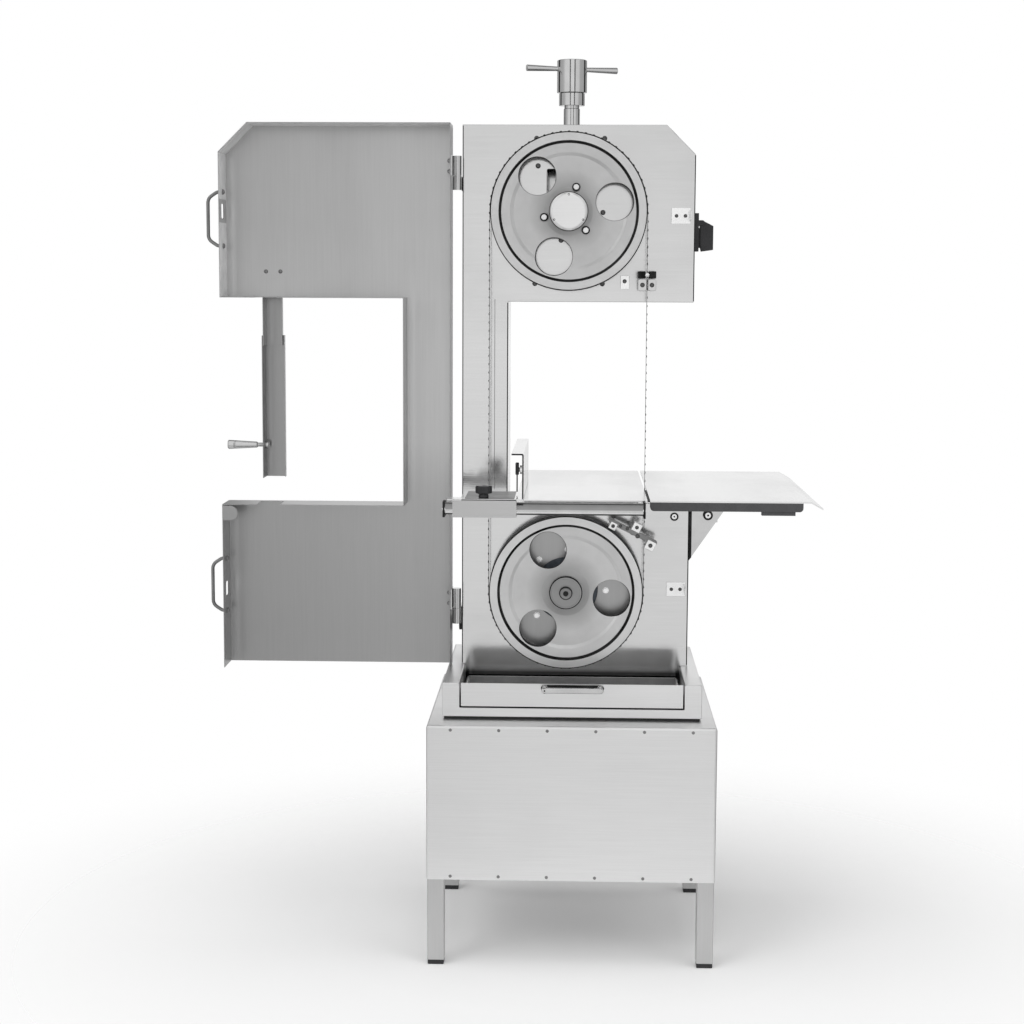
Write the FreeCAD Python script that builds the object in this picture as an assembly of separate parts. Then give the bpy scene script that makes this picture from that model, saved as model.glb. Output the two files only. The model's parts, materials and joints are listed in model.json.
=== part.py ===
import FreeCAD, Part
import math
import os

V = FreeCAD.Vector

# The frame: X to the right, Y away from the operator, Z up, millimetres.
# The origin is the centre of the stand's footprint on the floor, and the front panel's
# face is the plane Y = 0. The door is modelled open by half a turn, to the left.

# stand
STAND_W, STAND_D, STAND_H = 540.0, 494.0, 459.0
LEG = 32.0
LEG_WALL = 2.0
SHEET = 1.5
APRON_BOTTOM = 165.0
APRON_LIP = 14.0
TOP_SHEET = 2.0
TOP_FLANGE = 25.0
SCREW_R, SCREW_H = 3.0, 1.2
SCREW_COUNT, SCREW_PITCH = 6, 90.0
FOOT_PLUG = 6.0

# plinth and drawer
PLINTH_W, PLINTH_FRONT, PLINTH_BACK = 488.0, -187.0, 210.0
PLINTH_TOP = 528.0
CHEEK_W = 34.0
PLINTH_RAIL = 24.0
DRAWER_W = 420.0
DRAWER_BACK = -8.0
DRAWER_FRONT_T, DRAWER_GAP, TRAY_INSET, TRAY_DROP = 2.0, 1.5, 6.0, 22.0
PULL_X0, PULL_X1, PULL_Z, PULL_REACH, PULL_R = -57.0, 59.0, 521.0, 26.0, 5.0

# column housing
PANEL_L, PANEL_R = -218.0, 228.0
PANEL_BOTTOM, PANEL_TOP = 500.0, 1577.0
PANEL_T = 3.0
COLUMN_R = -129.0
LOWER_TOP = 850.0
UPPER_BOTTOM = 1240.0
CHAMFER = 55.0
SHELL_T = 2.0
UPPER_DEPTH, LOWER_DEPTH = 150.0, 208.0
FOLD_X = -155.0
COVER_T = 2.0
COVER_SCREW_R, COVER_SCREW_H, COVER_SCREW_INSET = 4.0, 2.0, 12.0
VENT_X0, VENT_X1, VENT_Z, VENT_H, VENT_PITCH, VENT_COUNT = -90.0, 65.0, 640.0, 5.0, 16.0, 6
GLAND_Y, GLAND_Z, GLAND_R, GLAND_BORE = 150.0, 585.0, 10.0, 4.5
GLAND_NUT_R, GLAND_NUT_L, GLAND_NECK_L = 15.0, 14.0, 12.0

# motor
MOTOR_FLANGE_R, MOTOR_FLANGE_BACK, MOTOR_R, MOTOR_BACK = 92.0, 15.0, 72.0, 180.0
MOTOR_SHAFT_BACK, MOTOR_OPENING_R = 165.0, 62.0
RIB_R, RIB_T, RIB_Y, RIB_PITCH, RIB_COUNT = 76.0, 4.0, 30.0, 14.0, 10
TERMINAL_HALF_X, TERMINAL_Y0, TERMINAL_Y1, TERMINAL_H = 45.0, 60.0, 140.0, 105.0
MOTOR_BOLT_R, MOTOR_BOLT_H, MOTOR_BOLT_PITCH_R, MOTOR_BOLT_COUNT = 5.5, 6.0, 78.0, 8
MOTOR_BOLT_ANGLE = 43.0

# wheels and blade
WHEEL_X, UPPER_Z, LOWER_Z = -13.5, 1411.0, 680.0
WHEEL_R, WHEEL_FRONT, WHEEL_BACK = 149.7, -54.0, -24.0
RIM_INNER_R, STEP_R = 136.0, 109.0
WEB_T, WEB_IN, STEP_H, BOSS_H, BOSS_W = 8.0, 9.0, 2.0, 4.0, 16.0
FLANGE_W, FLANGE_H = 3.0, 2.5
HOLE_R, HOLE_PITCH_R = 36.0, 89.0
UPPER_HOLE_ANGLE, LOWER_HOLE_ANGLE = 12.0, 113.0
BLADE_Y0, BLADE_Y1, BLADE_T, BLADE_R = -46.0, -30.0, 0.6, 150.0
SHAFT_R, FIT = 12.5, 0.05
HUB_R = 26.0
CAP_R, CAP_PROUD, CAP_DEPTH = 36.0, 8.0, 13.0
HUB_BOLT_R, HUB_BOLT_PITCH_R, HUB_BOLT_ANGLE, HUB_BOLT_H = 5.5, 48.0, 73.0, 6.0
HUB_FRONT, WASHER_R, WASHER_T = -52.0, 31.0, 5.0
SHAFT_SCREW_R, SHAFT_SCREW_H, SOCKET_R, SOCKET_DEPTH = 11.5, 9.0, 6.0, 6.0
BLADE_X = WHEEL_X + BLADE_R

# wheel tension
TOWER_Y = 60.0
TOWER_R, COLLAR_R, KNOB_R = 15.8, 25.0, 29.0
TOWER_FOOT_R, TOWER_FOOT_T = 24.0, 3.0
COLLAR_Z0, COLLAR_Z1, KNOB_TOP = 1617.0, 1641.0, 1704.0
BAR_TIP_R, BAR_NECK_R, BAR_HALF, BAR_DROP, BAR_TURN = 6.4, 4.4, 92.0, 17.0, 18.0
CROWN_H, NIPPLE_R, NIPPLE_H, KNOB_PLAY = 1.4, 5.0, 3.0, 0.5
TENSION_SCREW_R = 8.0
TOWER_X = WHEEL_X + 4
BLOCK_Y0, BLOCK_Y1 = 30.0, 90.0
BLOCK_HALF_X, BLOCK_HALF_Z = 45.0, 40.0
RAIL_BAR, RAIL_PLAY, RAIL_INSET = 12.0, 0.3, 10.0
STUB_FRONT, SLOT_DOWN, SLOT_UP = -58.0, 40.0, 30.0
WINDOW_L, WINDOW_R, WINDOW_DOWN, WINDOW_UP = 42.0, 26.0, 36.0, 82.0

# door
DOOR_L, DOOR_T, DOOR_DEPTH = -677.0, 1.5, 75.0
DOOR_TOP, DOOR_BOTTOM = 1575.0, 530.0
DOOR_UP_BOTTOM, DOOR_LOW_TOP = 1246.0, 850.0
DOOR_STRIP_L = -327.0
HINGE_X, HINGE_Y = -226.0, -38.0
HINGE_R, PIN_R = 8.5, 5.0
DOOR_R = HINGE_X - 10.5
LEAF_T, LEAF_HALF, LEAF_BACK, KNUCKLE_PLAY, PIN_SHORT = 2.5, 22.0, 40.0, 0.5, 6.0
# each hinge: bottom of the column knuckle, joint line, top of the door knuckle
HINGES = ((1451.0, 1477.0, 1515.0), (616.0, 646.0, 685.0))
NOTCH_X0, NOTCH_X1, NOTCH_D = -612.0, -566.0, 62.0
HANDLE_SPANS = ((1344.0, 1446.0), (637.0, 740.0))
HANDLE_REACH, HANDLE_R, HANDLE_Y = 26.0, 4.0, -40.0
LATCH_SPANS = ((1390.0, 1420.0), (667.0, 695.0))
LATCH_W, LATCH_IN, LATCH_T, LATCH_REACH, LATCH_SCREWS = 37.0, 8.0, 2.0, 34.0, (35.0, 18.0)
LATCH_SCREW_R = 3.5
LATCH_SLOT_Y0, LATCH_SLOT_Y1 = -50.0, -24.0
NUT_R, NUT_H, NUT_INSET = 5.0, 7.0, 9.0
PULL_NUT_R, PULL_NUT_H = 5.5, 5.0
BRACKET_SCREW_R, BRACKET_SCREW_H, BRACKET_SCREW_Z = 3.5, 2.5, 1296.0
BRACKET_SCREW_X = (-599.0, -571.0)
TONGUE_Z, TONGUE_R, TONGUE_T = 833.0, 14.0, 2.2
SENSOR_X, SENSOR_Z, SENSOR_R, SENSOR_PROUD = 197.0, 824.0, 9.5, 0.4

# blade guard on the door's outer face
GUARD_X0, GUARD_X1 = -607.0, -574.0
GUARD_Y1, GUARD_LIP = 48.0, 12.0
GUARD_BOTTOM, GUARD_STEP = 893.0, 1153.0
GUARD_CH_TOP, GUARD_BR_TOP = 1172.0, 1380.0
GUARD_GAP, GUARD_FOOT_Z, GUARD_FOOT_X, GUARD_FRONT = 2.0, 1275.0, 8.0, 8.0
CLAMP_Z, CLAMP_Y, CLAMP_R = 957.0, 30.0, 4.0
GRIP_R0, GRIP_R1, GRIP_L, GRIP_OFF = 6.0, 9.0, 58.0, 14.0
CLAMP_WASHER_R, CLAMP_WASHER_T, CLAMP_NUT_R, CLAMP_NUT_T, CLAMP_PLAY = 7.0, 2.0, 7.5, 7.7, 0.3

# table, rail and fence
TABLE_Z, TABLE_T = 883.0, 3.0
TABLE_FRONT, TABLE_BACK = -255.0, 324.0
TABLE_L, GAP_L, GAP_R, TABLE_R = -105.0, 135.0, 140.0, 432.0
TABLE_DROP_X, TABLE_DROP_Z = 22.0, 12.0
STRIP_L, STRIP_BACK = -232.0, -215.0
FRONT_BAR_Z, FRONT_BAR_R, FRONT_BAR_D, FRONT_BAR_ROUND = 864.0, 418.0, 18.0, 7.0
STOP_X0, STOP_X1, STOP_H, STOP_IN = 343.0, 404.0, 7.0, 2.0
SUPPORT_Y, SUPPORT_W, SUPPORT_INSET = (15.0, 150.0), 30.0, 8.0
RAIL_R, RAIL_Y, RAIL_Z = 11.0, -271.0, 868.0
RAIL_L, RAIL_END = -237.0, 131.0
RAIL_BOTTOM, END_T, END_FRONT, END_BACK = 853.0, 4.0, 14.0, 20.0
CAR_L, CAR_R, CAR_HALF = -219.0, -103.0, 14.0
BASE_Z, BASE_T = 884.0, 3.0
BASE_L, BASE_BACK = -205.0, -150.0
FENCE_X, FENCE_LIP_X, FENCE_TOP, FENCE_BACK = -91.0, -113.5, 967.0, 100.0
KNOB_X, STUD_R = -163.0, 4.0
STAR_R, STAR_H, LOBE_R, LOBE_COUNT, STAR_NECK, STAR_PLAY = 11.0, 22.0, 5.5, 5, 8.0, 0.5
LEVER_Y, LEVER_Z = -200.0, 933.0
LEVER_BOSS_R, LEVER_BOSS_L, LEVER_T, LEVER_HALF, LEVER_DOWN, LEVER_UP = 8.0, 8.0, 7.0, 4.0, 10.0, 14.0
ROD_R, ROD_X, ROD_Z = 9.0, 262.0, 828.0
ROD_Y0, ROD_Y1 = 0.0, 252.0
GUSSET_T, GUSSET_R, GUSSET_APEX, GUSSET_EDGE_Z, GUSSET_PLATE_Z = 6.0, 292.0, 738.0, 834.0, 800.0
BLOCK_Y, BLOCK_W, BLOCK_X, BLOCK_DOWN = (12.0, 72.0), 30.0, 20.0, 16.0
ROD_WASHER_R, ROD_WASHER_T, ROD_HEAD_R, ROD_HEAD_T = 11.0, 3.0, 6.0, 5.0

# blade guide on the upper panel: an arm over two blocks, and a small plate beside it
GUIDE_HALF, GUIDE_Z0, GUIDE_Z1, GUIDE_Z2, GUIDE_FRONT, GUIDE_BACK = 17.0, 1262.0, 1285.0, 1299.0, 12.0, 8.0
GUIDE_SLOT_L, GUIDE_SLOT_R, GUIDE_GAP_L, GUIDE_GAP_R = 3.0, 4.0, 1.2, 1.8
PLATE_X0, PLATE_X1, PLATE_Z0, PLATE_Z1, PLATE_T = 87.0, 104.0, 1265.0, 1291.0, 3.0
GUIDE_SCREW_R, GUIDE_SCREW_X, GUIDE_SCREW_Z = 4.5, 9.0, 1273.0
PLATE_SCREW_R, PLATE_SCREW_X, PLATE_SCREW_Z = 4.0, 95.0, 1280.0

# scraper below the table: a sloping bar on a post
SCRAPER_X, SCRAPER_Z, SCRAPER_HALF, SCRAPER_THICK, SCRAPER_TILT = 115.0, 801.0, 52.0, 4.5, 26.0
SCRAPER_Y0, SCRAPER_Y1, POST_R, POST_FRONT = -66.0, -58.0, 7.0, -70.0
WIPER = (104.0, 121.0, -72.0, -50.0, 806.0, 822.0)
END_BLOCK_X0, END_BLOCK_X1, END_BLOCK_Z0, END_BLOCK_Z1 = 2.0, 20.0, 776.0, 792.0

# bolts on the front panel: (x, z) of each head
PANEL_BOLTS = (
    (-76.0, 1551.0), (54.0, 1551.0), (-78.0, 1275.0), (52.0, 1275.0), (-73.0, 1499.0),
    (52.0, 1411.0), (-28.0, 1358.0),
)
PANEL_BOLT_R, BOLT_H, SMALL_BOLT_H = 5.0, 4.0, 3.0

# switch on the upper housing's right side
SWITCH_Y0, SWITCH_Y1 = 14.0, 56.0
SWITCH_Z0, SWITCH_Z1 = 1338.0, 1411.0
SWITCH_PLATE_T, SWITCH_BLOCK_T, SWITCH_BLOCK_INSET = 9.0, 20.0, 9.0
SWITCH_BLOCK_Z0, SWITCH_BLOCK_Z1 = 7.0, 45.0
FLAP_HINGE_X, FLAP_HINGE_Z, FLAP_PIN_R = 243.5, 1392.5, 2.0
LUG_T, LUG_R = 1.6, 5.0
FLAP_INSET, FLAP_WALL, FLAP_BACK, FLAP_FRONT, FLAP_TOP = 2.0, 3.0, 12.5, 37.0, 1396.5
BUTTON_R, BUTTON_PLAY, BUTTON_Z, BUTTON_BACK, BUTTON_FRONT = 7.0, 0.3, (16.0, 35.0), 15.5, 22.5


def box(x0, x1, y0, y1, z0, z1):
    return Part.makeBox(x1 - x0, y1 - y0, z1 - z0, V(x0, y0, z0))


def cyl(x, y, z, r, length, axis):
    return Part.makeCylinder(r, length, V(x, y, z), axis)


def cyl_y(x, z, r, y0, y1):
    return cyl(x, y0, z, r, y1 - y0, V(0, 1, 0))


def cyl_z(x, y, r, z0, z1):
    return cyl(x, y, z0, r, z1 - z0, V(0, 0, 1))


def cyl_x(y, z, r, x0, x1):
    return cyl(x0, y, z, r, x1 - x0, V(1, 0, 0))


def prism_y(points, y0, y1):
    """A straight prism along Y with an outline of (x, z) points."""
    loop = [V(x, y0, z) for x, z in points]
    face = Part.Face(Part.makePolygon(loop + loop[:1]))
    return face.extrude(V(0, y1 - y0, 0))


def fuse(shapes):
    return shapes[0].multiFuse(shapes[1:]).removeSplitter()


def polar(x, z, r, degrees):
    a = math.radians(degrees)
    return x + r * math.cos(a), z + r * math.sin(a)


def save(name, shapes):
    if not isinstance(shapes, list):
        shapes = [shapes]
    shape = shapes[0] if len(shapes) == 1 else Part.makeCompound(shapes)
    shape.exportStep("parts/" + name + ".step")


# ---------------------------------------------------------------- stand


def legs():
    legs_made = []
    inner_w = STAND_W / 2 - SHEET
    inner_d = STAND_D / 2 - SHEET
    for sx in (-1, 1):
        for sy in (-1, 1):
            x0 = min(sx * inner_w, sx * (inner_w - LEG))
            y0 = min(sy * inner_d, sy * (inner_d - LEG))
            outer = box(x0, x0 + LEG, y0, y0 + LEG, 0, STAND_H - TOP_SHEET)
            bore = box(
                x0 + LEG_WALL, x0 + LEG - LEG_WALL, y0 + LEG_WALL, y0 + LEG - LEG_WALL,
                FOOT_PLUG, STAND_H,
            )
            legs_made.append(outer.cut(bore))
    return legs_made


def stand_top():
    w, d = STAND_W / 2, STAND_D / 2
    plate = box(-w, w, -d, d, STAND_H - TOP_SHEET, STAND_H)
    z0, z1 = STAND_H - TOP_SHEET - TOP_FLANGE, STAND_H - TOP_SHEET
    gap = SHEET + LEG
    flanges = []
    for s in (-1, 1):
        y0 = min(s * (d - SHEET), s * (d - 2 * SHEET))
        x0 = min(s * (w - SHEET), s * (w - 2 * SHEET))
        flanges.append(box(-w + gap, w - gap, y0, y0 + SHEET, z0, z1))
        flanges.append(box(x0, x0 + SHEET, -d + gap, d - gap, z0, z1))
    return fuse([plate] + flanges)


def aprons():
    w, d = STAND_W / 2, STAND_D / 2
    z0, z1 = APRON_BOTTOM, STAND_H - TOP_SHEET
    sheets = []
    for s in (-1, 1):
        y0 = min(s * d, s * (d - SHEET))
        lip_y = min(s * (d - SHEET), s * (d - APRON_LIP))
        inset = w - SHEET - LEG
        face = box(-w, w, y0, y0 + SHEET, z0, z1)
        lip = box(-inset, inset, lip_y, lip_y + APRON_LIP - SHEET, z0, z0 + SHEET)
        sheets.append(fuse([face, lip]))
        x0 = min(s * w, s * (w - SHEET))
        lip_x = min(s * (w - SHEET), s * (w - APRON_LIP))
        inset = d - SHEET - LEG
        face = box(x0, x0 + SHEET, -d + SHEET, d - SHEET, z0, z1)
        lip = box(lip_x, lip_x + APRON_LIP - SHEET, -inset, inset, z0, z0 + SHEET)
        sheets.append(fuse([face, lip]))
    return sheets


def apron_screws():
    """Small button heads along the top and bottom edges of the front and rear sheets."""
    screws = []
    first = -SCREW_PITCH * (SCREW_COUNT - 1) / 2
    face = STAND_D / 2
    for z in (STAND_H - 8, APRON_BOTTOM + 7):
        for i in range(SCREW_COUNT):
            x = first + SCREW_PITCH * i
            screws.append(cyl_y(x, z, SCREW_R, -face - SCREW_H, -face))
            screws.append(cyl_y(x, z, SCREW_R, face, face + SCREW_H))
    return screws


# ---------------------------------------------------------------- plinth and drawer


def plinth_cheeks():
    """The two side boxes: folded sheet with an open inner side behind the front face."""
    cheeks = []
    for s in (-1, 1):
        outer, inner = s * PLINTH_W / 2, s * (PLINTH_W / 2 - CHEEK_W)
        x0, x1 = min(outer, inner), max(outer, inner)
        full = box(x0, x1, PLINTH_FRONT, PLINTH_BACK, STAND_H, PLINTH_TOP)
        hollow = box(
            x0 + SHEET, x1 - SHEET, PLINTH_FRONT + SHEET, PLINTH_BACK - SHEET,
            STAND_H + SHEET, PLINTH_TOP - SHEET,
        )
        cheeks.append(full.cut(hollow))
    return cheeks


def plinth_base():
    """The rail below the drawer, with the floor sheet that the drawer slides on."""
    half = PLINTH_W / 2 - CHEEK_W
    top = STAND_H + PLINTH_RAIL
    front = box(-half, half, PLINTH_FRONT, PLINTH_FRONT + SHEET, STAND_H, top)
    floor = box(-half, half, PLINTH_FRONT, PLINTH_BACK, top - SHEET, top)
    back = box(-half, half, PLINTH_BACK - SHEET, PLINTH_BACK, STAND_H, top)
    return fuse([front, floor, back])


def plinth_deck():
    """The deck sheet behind the front panel, with its rear skirt."""
    half = PLINTH_W / 2 - CHEEK_W
    deck = box(-half, half, PANEL_T, PLINTH_BACK, PLINTH_TOP - SHEET, PLINTH_TOP)
    skirt = box(-half, half, PLINTH_BACK - SHEET, PLINTH_BACK, STAND_H + PLINTH_RAIL, PLINTH_TOP)
    return fuse([deck, skirt])


def drawer():
    """The sliding tray with its taller front plate."""
    half = DRAWER_W / 2 - TRAY_INSET
    slide = STAND_H + PLINTH_RAIL
    z0, z1 = slide + 0.6, PLINTH_TOP - TRAY_DROP
    tray = box(-half, half, PLINTH_FRONT, DRAWER_BACK, z0, z1)
    inside = box(
        -half + SHEET, half - SHEET, PLINTH_FRONT + SHEET, DRAWER_BACK - SHEET, z0 + SHEET, z1
    )
    wide = DRAWER_W / 2 - DRAWER_GAP
    front = box(
        -wide, wide, PLINTH_FRONT - DRAWER_FRONT_T, PLINTH_FRONT, slide + 1, PLINTH_TOP
    )
    return fuse([tray.cut(inside), front])


def bar_handle(x0, x1, y_face, z, reach, r):
    """A round bar standing off a front face on two short posts."""
    y = y_face - reach
    grip = cyl_x(y, z, r, x0, x1)
    posts = [cyl_y(x, z, r * 0.8, y, y_face) for x in (x0 + r, x1 - r)]
    return fuse([grip] + posts)


def drawer_handle():
    return bar_handle(
        PULL_X0, PULL_X1, PLINTH_FRONT - DRAWER_FRONT_T, PULL_Z, PULL_REACH, PULL_R
    )


# ---------------------------------------------------------------- housing


def upper_outline(inset):
    """The upper housing's front outline, with its chamfered top right corner, shrunk by inset."""
    c = CHAMFER + inset * 0.4
    return [
        (PANEL_L + inset, UPPER_BOTTOM + inset), (PANEL_R - inset, UPPER_BOTTOM + inset),
        (PANEL_R - inset, PANEL_TOP - c), (PANEL_R - c, PANEL_TOP - inset),
        (PANEL_L + inset, PANEL_TOP - inset),
    ]


def panel_upper():
    """The upper front plate, with the stub shaft's slot and a small window beside it."""
    plate = prism_y(upper_outline(0), 0, PANEL_T)
    half = SHAFT_R + 5
    slot = box(
        WHEEL_X - half, WHEEL_X + half, -1, PANEL_T + 1, UPPER_Z - SLOT_DOWN, UPPER_Z + SLOT_UP
    )
    window = box(
        WHEEL_X - WINDOW_L, WHEEL_X - WINDOW_R, -1, PANEL_T + 1,
        UPPER_Z + WINDOW_DOWN, UPPER_Z + WINDOW_UP,
    )
    return plate.cut(slot).cut(window)


def panel_column():
    """The column's sheet, with the shallow fold line that runs down beside the blade."""
    plate = box(PANEL_L, COLUMN_R, 0, PANEL_T, LOWER_TOP, UPPER_BOTTOM)
    groove = box(FOLD_X - 0.6, FOLD_X + 0.6, -1, 0.8, LOWER_TOP - 1, UPPER_BOTTOM + 1)
    return plate.cut(groove)


def panel_lower():
    half = PLINTH_W / 2 - CHEEK_W
    skirt = box(-half, half, 0, PANEL_T, PANEL_BOTTOM, PLINTH_TOP)
    plate = fuse([box(PANEL_L, PANEL_R - 2, 0, PANEL_T, PLINTH_TOP, LOWER_TOP), skirt])
    return plate.cut(cyl_y(WHEEL_X, LOWER_Z, MOTOR_OPENING_R, -1, PANEL_T + 1))


def shell_upper():
    outer = prism_y(upper_outline(0), PANEL_T, UPPER_DEPTH)
    inner = prism_y(upper_outline(SHELL_T), PANEL_T - 1, UPPER_DEPTH + 1)
    hole = cyl_z(TOWER_X, TOWER_Y, TENSION_SCREW_R + 2, PANEL_TOP - 10, PANEL_TOP + 1)
    return outer.cut(inner).cut(hole)


def shell_column():
    outer = box(PANEL_L, COLUMN_R, PANEL_T, UPPER_DEPTH, LOWER_TOP, UPPER_BOTTOM)
    inner = box(
        PANEL_L + SHELL_T, COLUMN_R - SHELL_T, PANEL_T - 1, UPPER_DEPTH - SHELL_T,
        LOWER_TOP - 1, UPPER_BOTTOM + 1,
    )
    return outer.cut(inner)


def shell_lower():
    outer = box(PANEL_L, PANEL_R - 2, PANEL_T, LOWER_DEPTH, PLINTH_TOP, LOWER_TOP)
    inner = box(
        PANEL_L + SHELL_T, PANEL_R - 2 - SHELL_T, PANEL_T - 1, LOWER_DEPTH + 1,
        PLINTH_TOP - 1, LOWER_TOP - SHELL_T,
    )
    gland = cyl_x(GLAND_Y, GLAND_Z, GLAND_R, PANEL_L - 1, PANEL_L + SHELL_T + 1)
    return outer.cut(inner).cut(gland)


def rear_covers():
    """The two screwed-on back plates; the lower one has ventilation slots for the motor."""
    upper = prism_y(upper_outline(0), UPPER_DEPTH, UPPER_DEPTH + COVER_T)
    lower = box(PANEL_L, PANEL_R - 2, LOWER_DEPTH, LOWER_DEPTH + COVER_T, PLINTH_TOP, LOWER_TOP)
    for i in range(VENT_COUNT):
        z = VENT_Z + VENT_PITCH * i
        vent = box(VENT_X0, VENT_X1, LOWER_DEPTH - 1, LOWER_DEPTH + COVER_T + 1, z, z + VENT_H)
        lower = lower.cut(vent)
    return [upper, lower]


def cover_screws():
    screws = []
    inset = COVER_SCREW_INSET
    y = UPPER_DEPTH + COVER_T
    for x in (PANEL_L + inset, PANEL_R - inset):
        for z in (UPPER_BOTTOM + inset, PANEL_TOP - CHAMFER - inset):
            screws.append(cyl_y(x, z, COVER_SCREW_R, y, y + COVER_SCREW_H))
    y = LOWER_DEPTH + COVER_T
    for x in (PANEL_L + inset, PANEL_R - 2 - inset):
        for z in (PLINTH_TOP + inset, LOWER_TOP - inset):
            screws.append(cyl_y(x, z, COVER_SCREW_R, y, y + COVER_SCREW_H))
    return screws


def motor():
    """Flange motor: flange plate on the panel's back, ribbed can and terminal box."""
    flange = cyl_y(WHEEL_X, LOWER_Z, MOTOR_FLANGE_R, PANEL_T, MOTOR_FLANGE_BACK)
    can = cyl_y(WHEEL_X, LOWER_Z, MOTOR_R, MOTOR_FLANGE_BACK, MOTOR_BACK)
    ribs = []
    for i in range(RIB_COUNT):
        y = RIB_Y + RIB_PITCH * i
        ribs.append(cyl_y(WHEEL_X, LOWER_Z, RIB_R, y, y + RIB_T))
    terminal = box(
        WHEEL_X - TERMINAL_HALF_X, WHEEL_X + TERMINAL_HALF_X, TERMINAL_Y0, TERMINAL_Y1,
        LOWER_Z + MOTOR_R / 2, LOWER_Z + TERMINAL_H,
    )
    body = fuse([flange, can, terminal] + ribs)
    return body.cut(cyl_y(WHEEL_X, LOWER_Z, SHAFT_R + FIT, -1, MOTOR_SHAFT_BACK + 5))


def motor_screws():
    screws = []
    step = 360 / MOTOR_BOLT_COUNT
    for i in range(MOTOR_BOLT_COUNT):
        x, z = polar(WHEEL_X, LOWER_Z, MOTOR_BOLT_PITCH_R, MOTOR_BOLT_ANGLE + step * i)
        screws.append(cyl_y(x, z, MOTOR_BOLT_R, -MOTOR_BOLT_H, 0))
    return screws


def cable_gland():
    """The gland's outer nut and its neck through the housing's left wall."""
    nut = cyl_x(GLAND_Y, GLAND_Z, GLAND_NUT_R, PANEL_L - GLAND_NUT_L, PANEL_L)
    neck = cyl_x(GLAND_Y, GLAND_Z, GLAND_R - 0.2, PANEL_L, PANEL_L + GLAND_NECK_L)
    bore = cyl_x(GLAND_Y, GLAND_Z, GLAND_BORE, PANEL_L - 20, PANEL_L + 20)
    return fuse([nut, neck]).cut(bore)


# ---------------------------------------------------------------- tension gear


def tension_tower():
    """The fixed sleeve that the tension screw turns in, on a small foot plate."""
    foot = cyl_z(TOWER_X, TOWER_Y, TOWER_FOOT_R, PANEL_TOP, PANEL_TOP + TOWER_FOOT_T)
    sleeve = cyl_z(TOWER_X, TOWER_Y, TOWER_R, PANEL_TOP, COLLAR_Z0)
    collar = cyl_z(TOWER_X, TOWER_Y, COLLAR_R, COLLAR_Z0, COLLAR_Z1)
    bore = cyl_z(TOWER_X, TOWER_Y, TENSION_SCREW_R + FIT, PANEL_TOP - 1, COLLAR_Z1 + 1)
    return fuse([foot, sleeve, collar]).cut(bore)


def tension_handle():
    """Knob with nipple and a cross bar thinner at the knob; the tension screw is a second solid below."""
    x, y = TOWER_X, TOWER_Y
    base = COLLAR_Z1 + KNOB_PLAY
    bar_z = KNOB_TOP - BAR_DROP
    knob = cyl_z(x, y, KNOB_R, base, KNOB_TOP - CROWN_H)
    crown = Part.makeCone(KNOB_R, KNOB_R - CROWN_H, CROWN_H, V(x, y, KNOB_TOP - CROWN_H))
    nipple = cyl_z(x, y, NIPPLE_R, KNOB_TOP, KNOB_TOP + NIPPLE_H)
    arms = []
    for angle in (BAR_TURN, BAR_TURN + 180):
        arm = Part.makeCone(BAR_NECK_R, BAR_TIP_R, BAR_HALF, V(0, 0, 0), V(1, 0, 0))
        arm.rotate(V(0, 0, 0), V(0, 0, 1), angle)
        arm.translate(V(x, y, bar_z))
        arms.append(arm)
    screw = cyl_z(x, y, TENSION_SCREW_R, UPPER_Z - 10, base)
    return [fuse([knob, crown, nipple] + arms), screw]


def carriage_rails():
    """Two square bars welded inside the upper housing that the carriage slides between."""
    bars = []
    z0, z1 = UPPER_BOTTOM + SHELL_T, PANEL_TOP - SHELL_T
    y0, y1 = BLOCK_Y0 + RAIL_INSET, BLOCK_Y1 - RAIL_INSET
    x = BLOCK_HALF_X + RAIL_PLAY
    bars.append(box(TOWER_X - x - RAIL_BAR, TOWER_X - x, y0, y1, z0, z1))
    bars.append(box(TOWER_X + x, TOWER_X + x + RAIL_BAR, y0, y1, z0, z1))
    return bars


def wheel_carriage():
    """The sliding block with the tension nut, and the fixed stub shaft of the upper wheel."""
    block = box(
        TOWER_X - BLOCK_HALF_X, TOWER_X + BLOCK_HALF_X, BLOCK_Y0, BLOCK_Y1,
        UPPER_Z - BLOCK_HALF_Z, UPPER_Z + BLOCK_HALF_Z,
    )
    stub = cyl_y(WHEEL_X, UPPER_Z, SHAFT_R, STUB_FRONT, BLOCK_Y0 + 5)
    bore = cyl_z(
        TOWER_X, TOWER_Y, TENSION_SCREW_R + FIT, UPPER_Z - BLOCK_HALF_Z - 1,
        UPPER_Z + BLOCK_HALF_Z + 1,
    )
    return fuse([block, stub]).cut(bore)


# ---------------------------------------------------------------- wheels and blade


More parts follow.
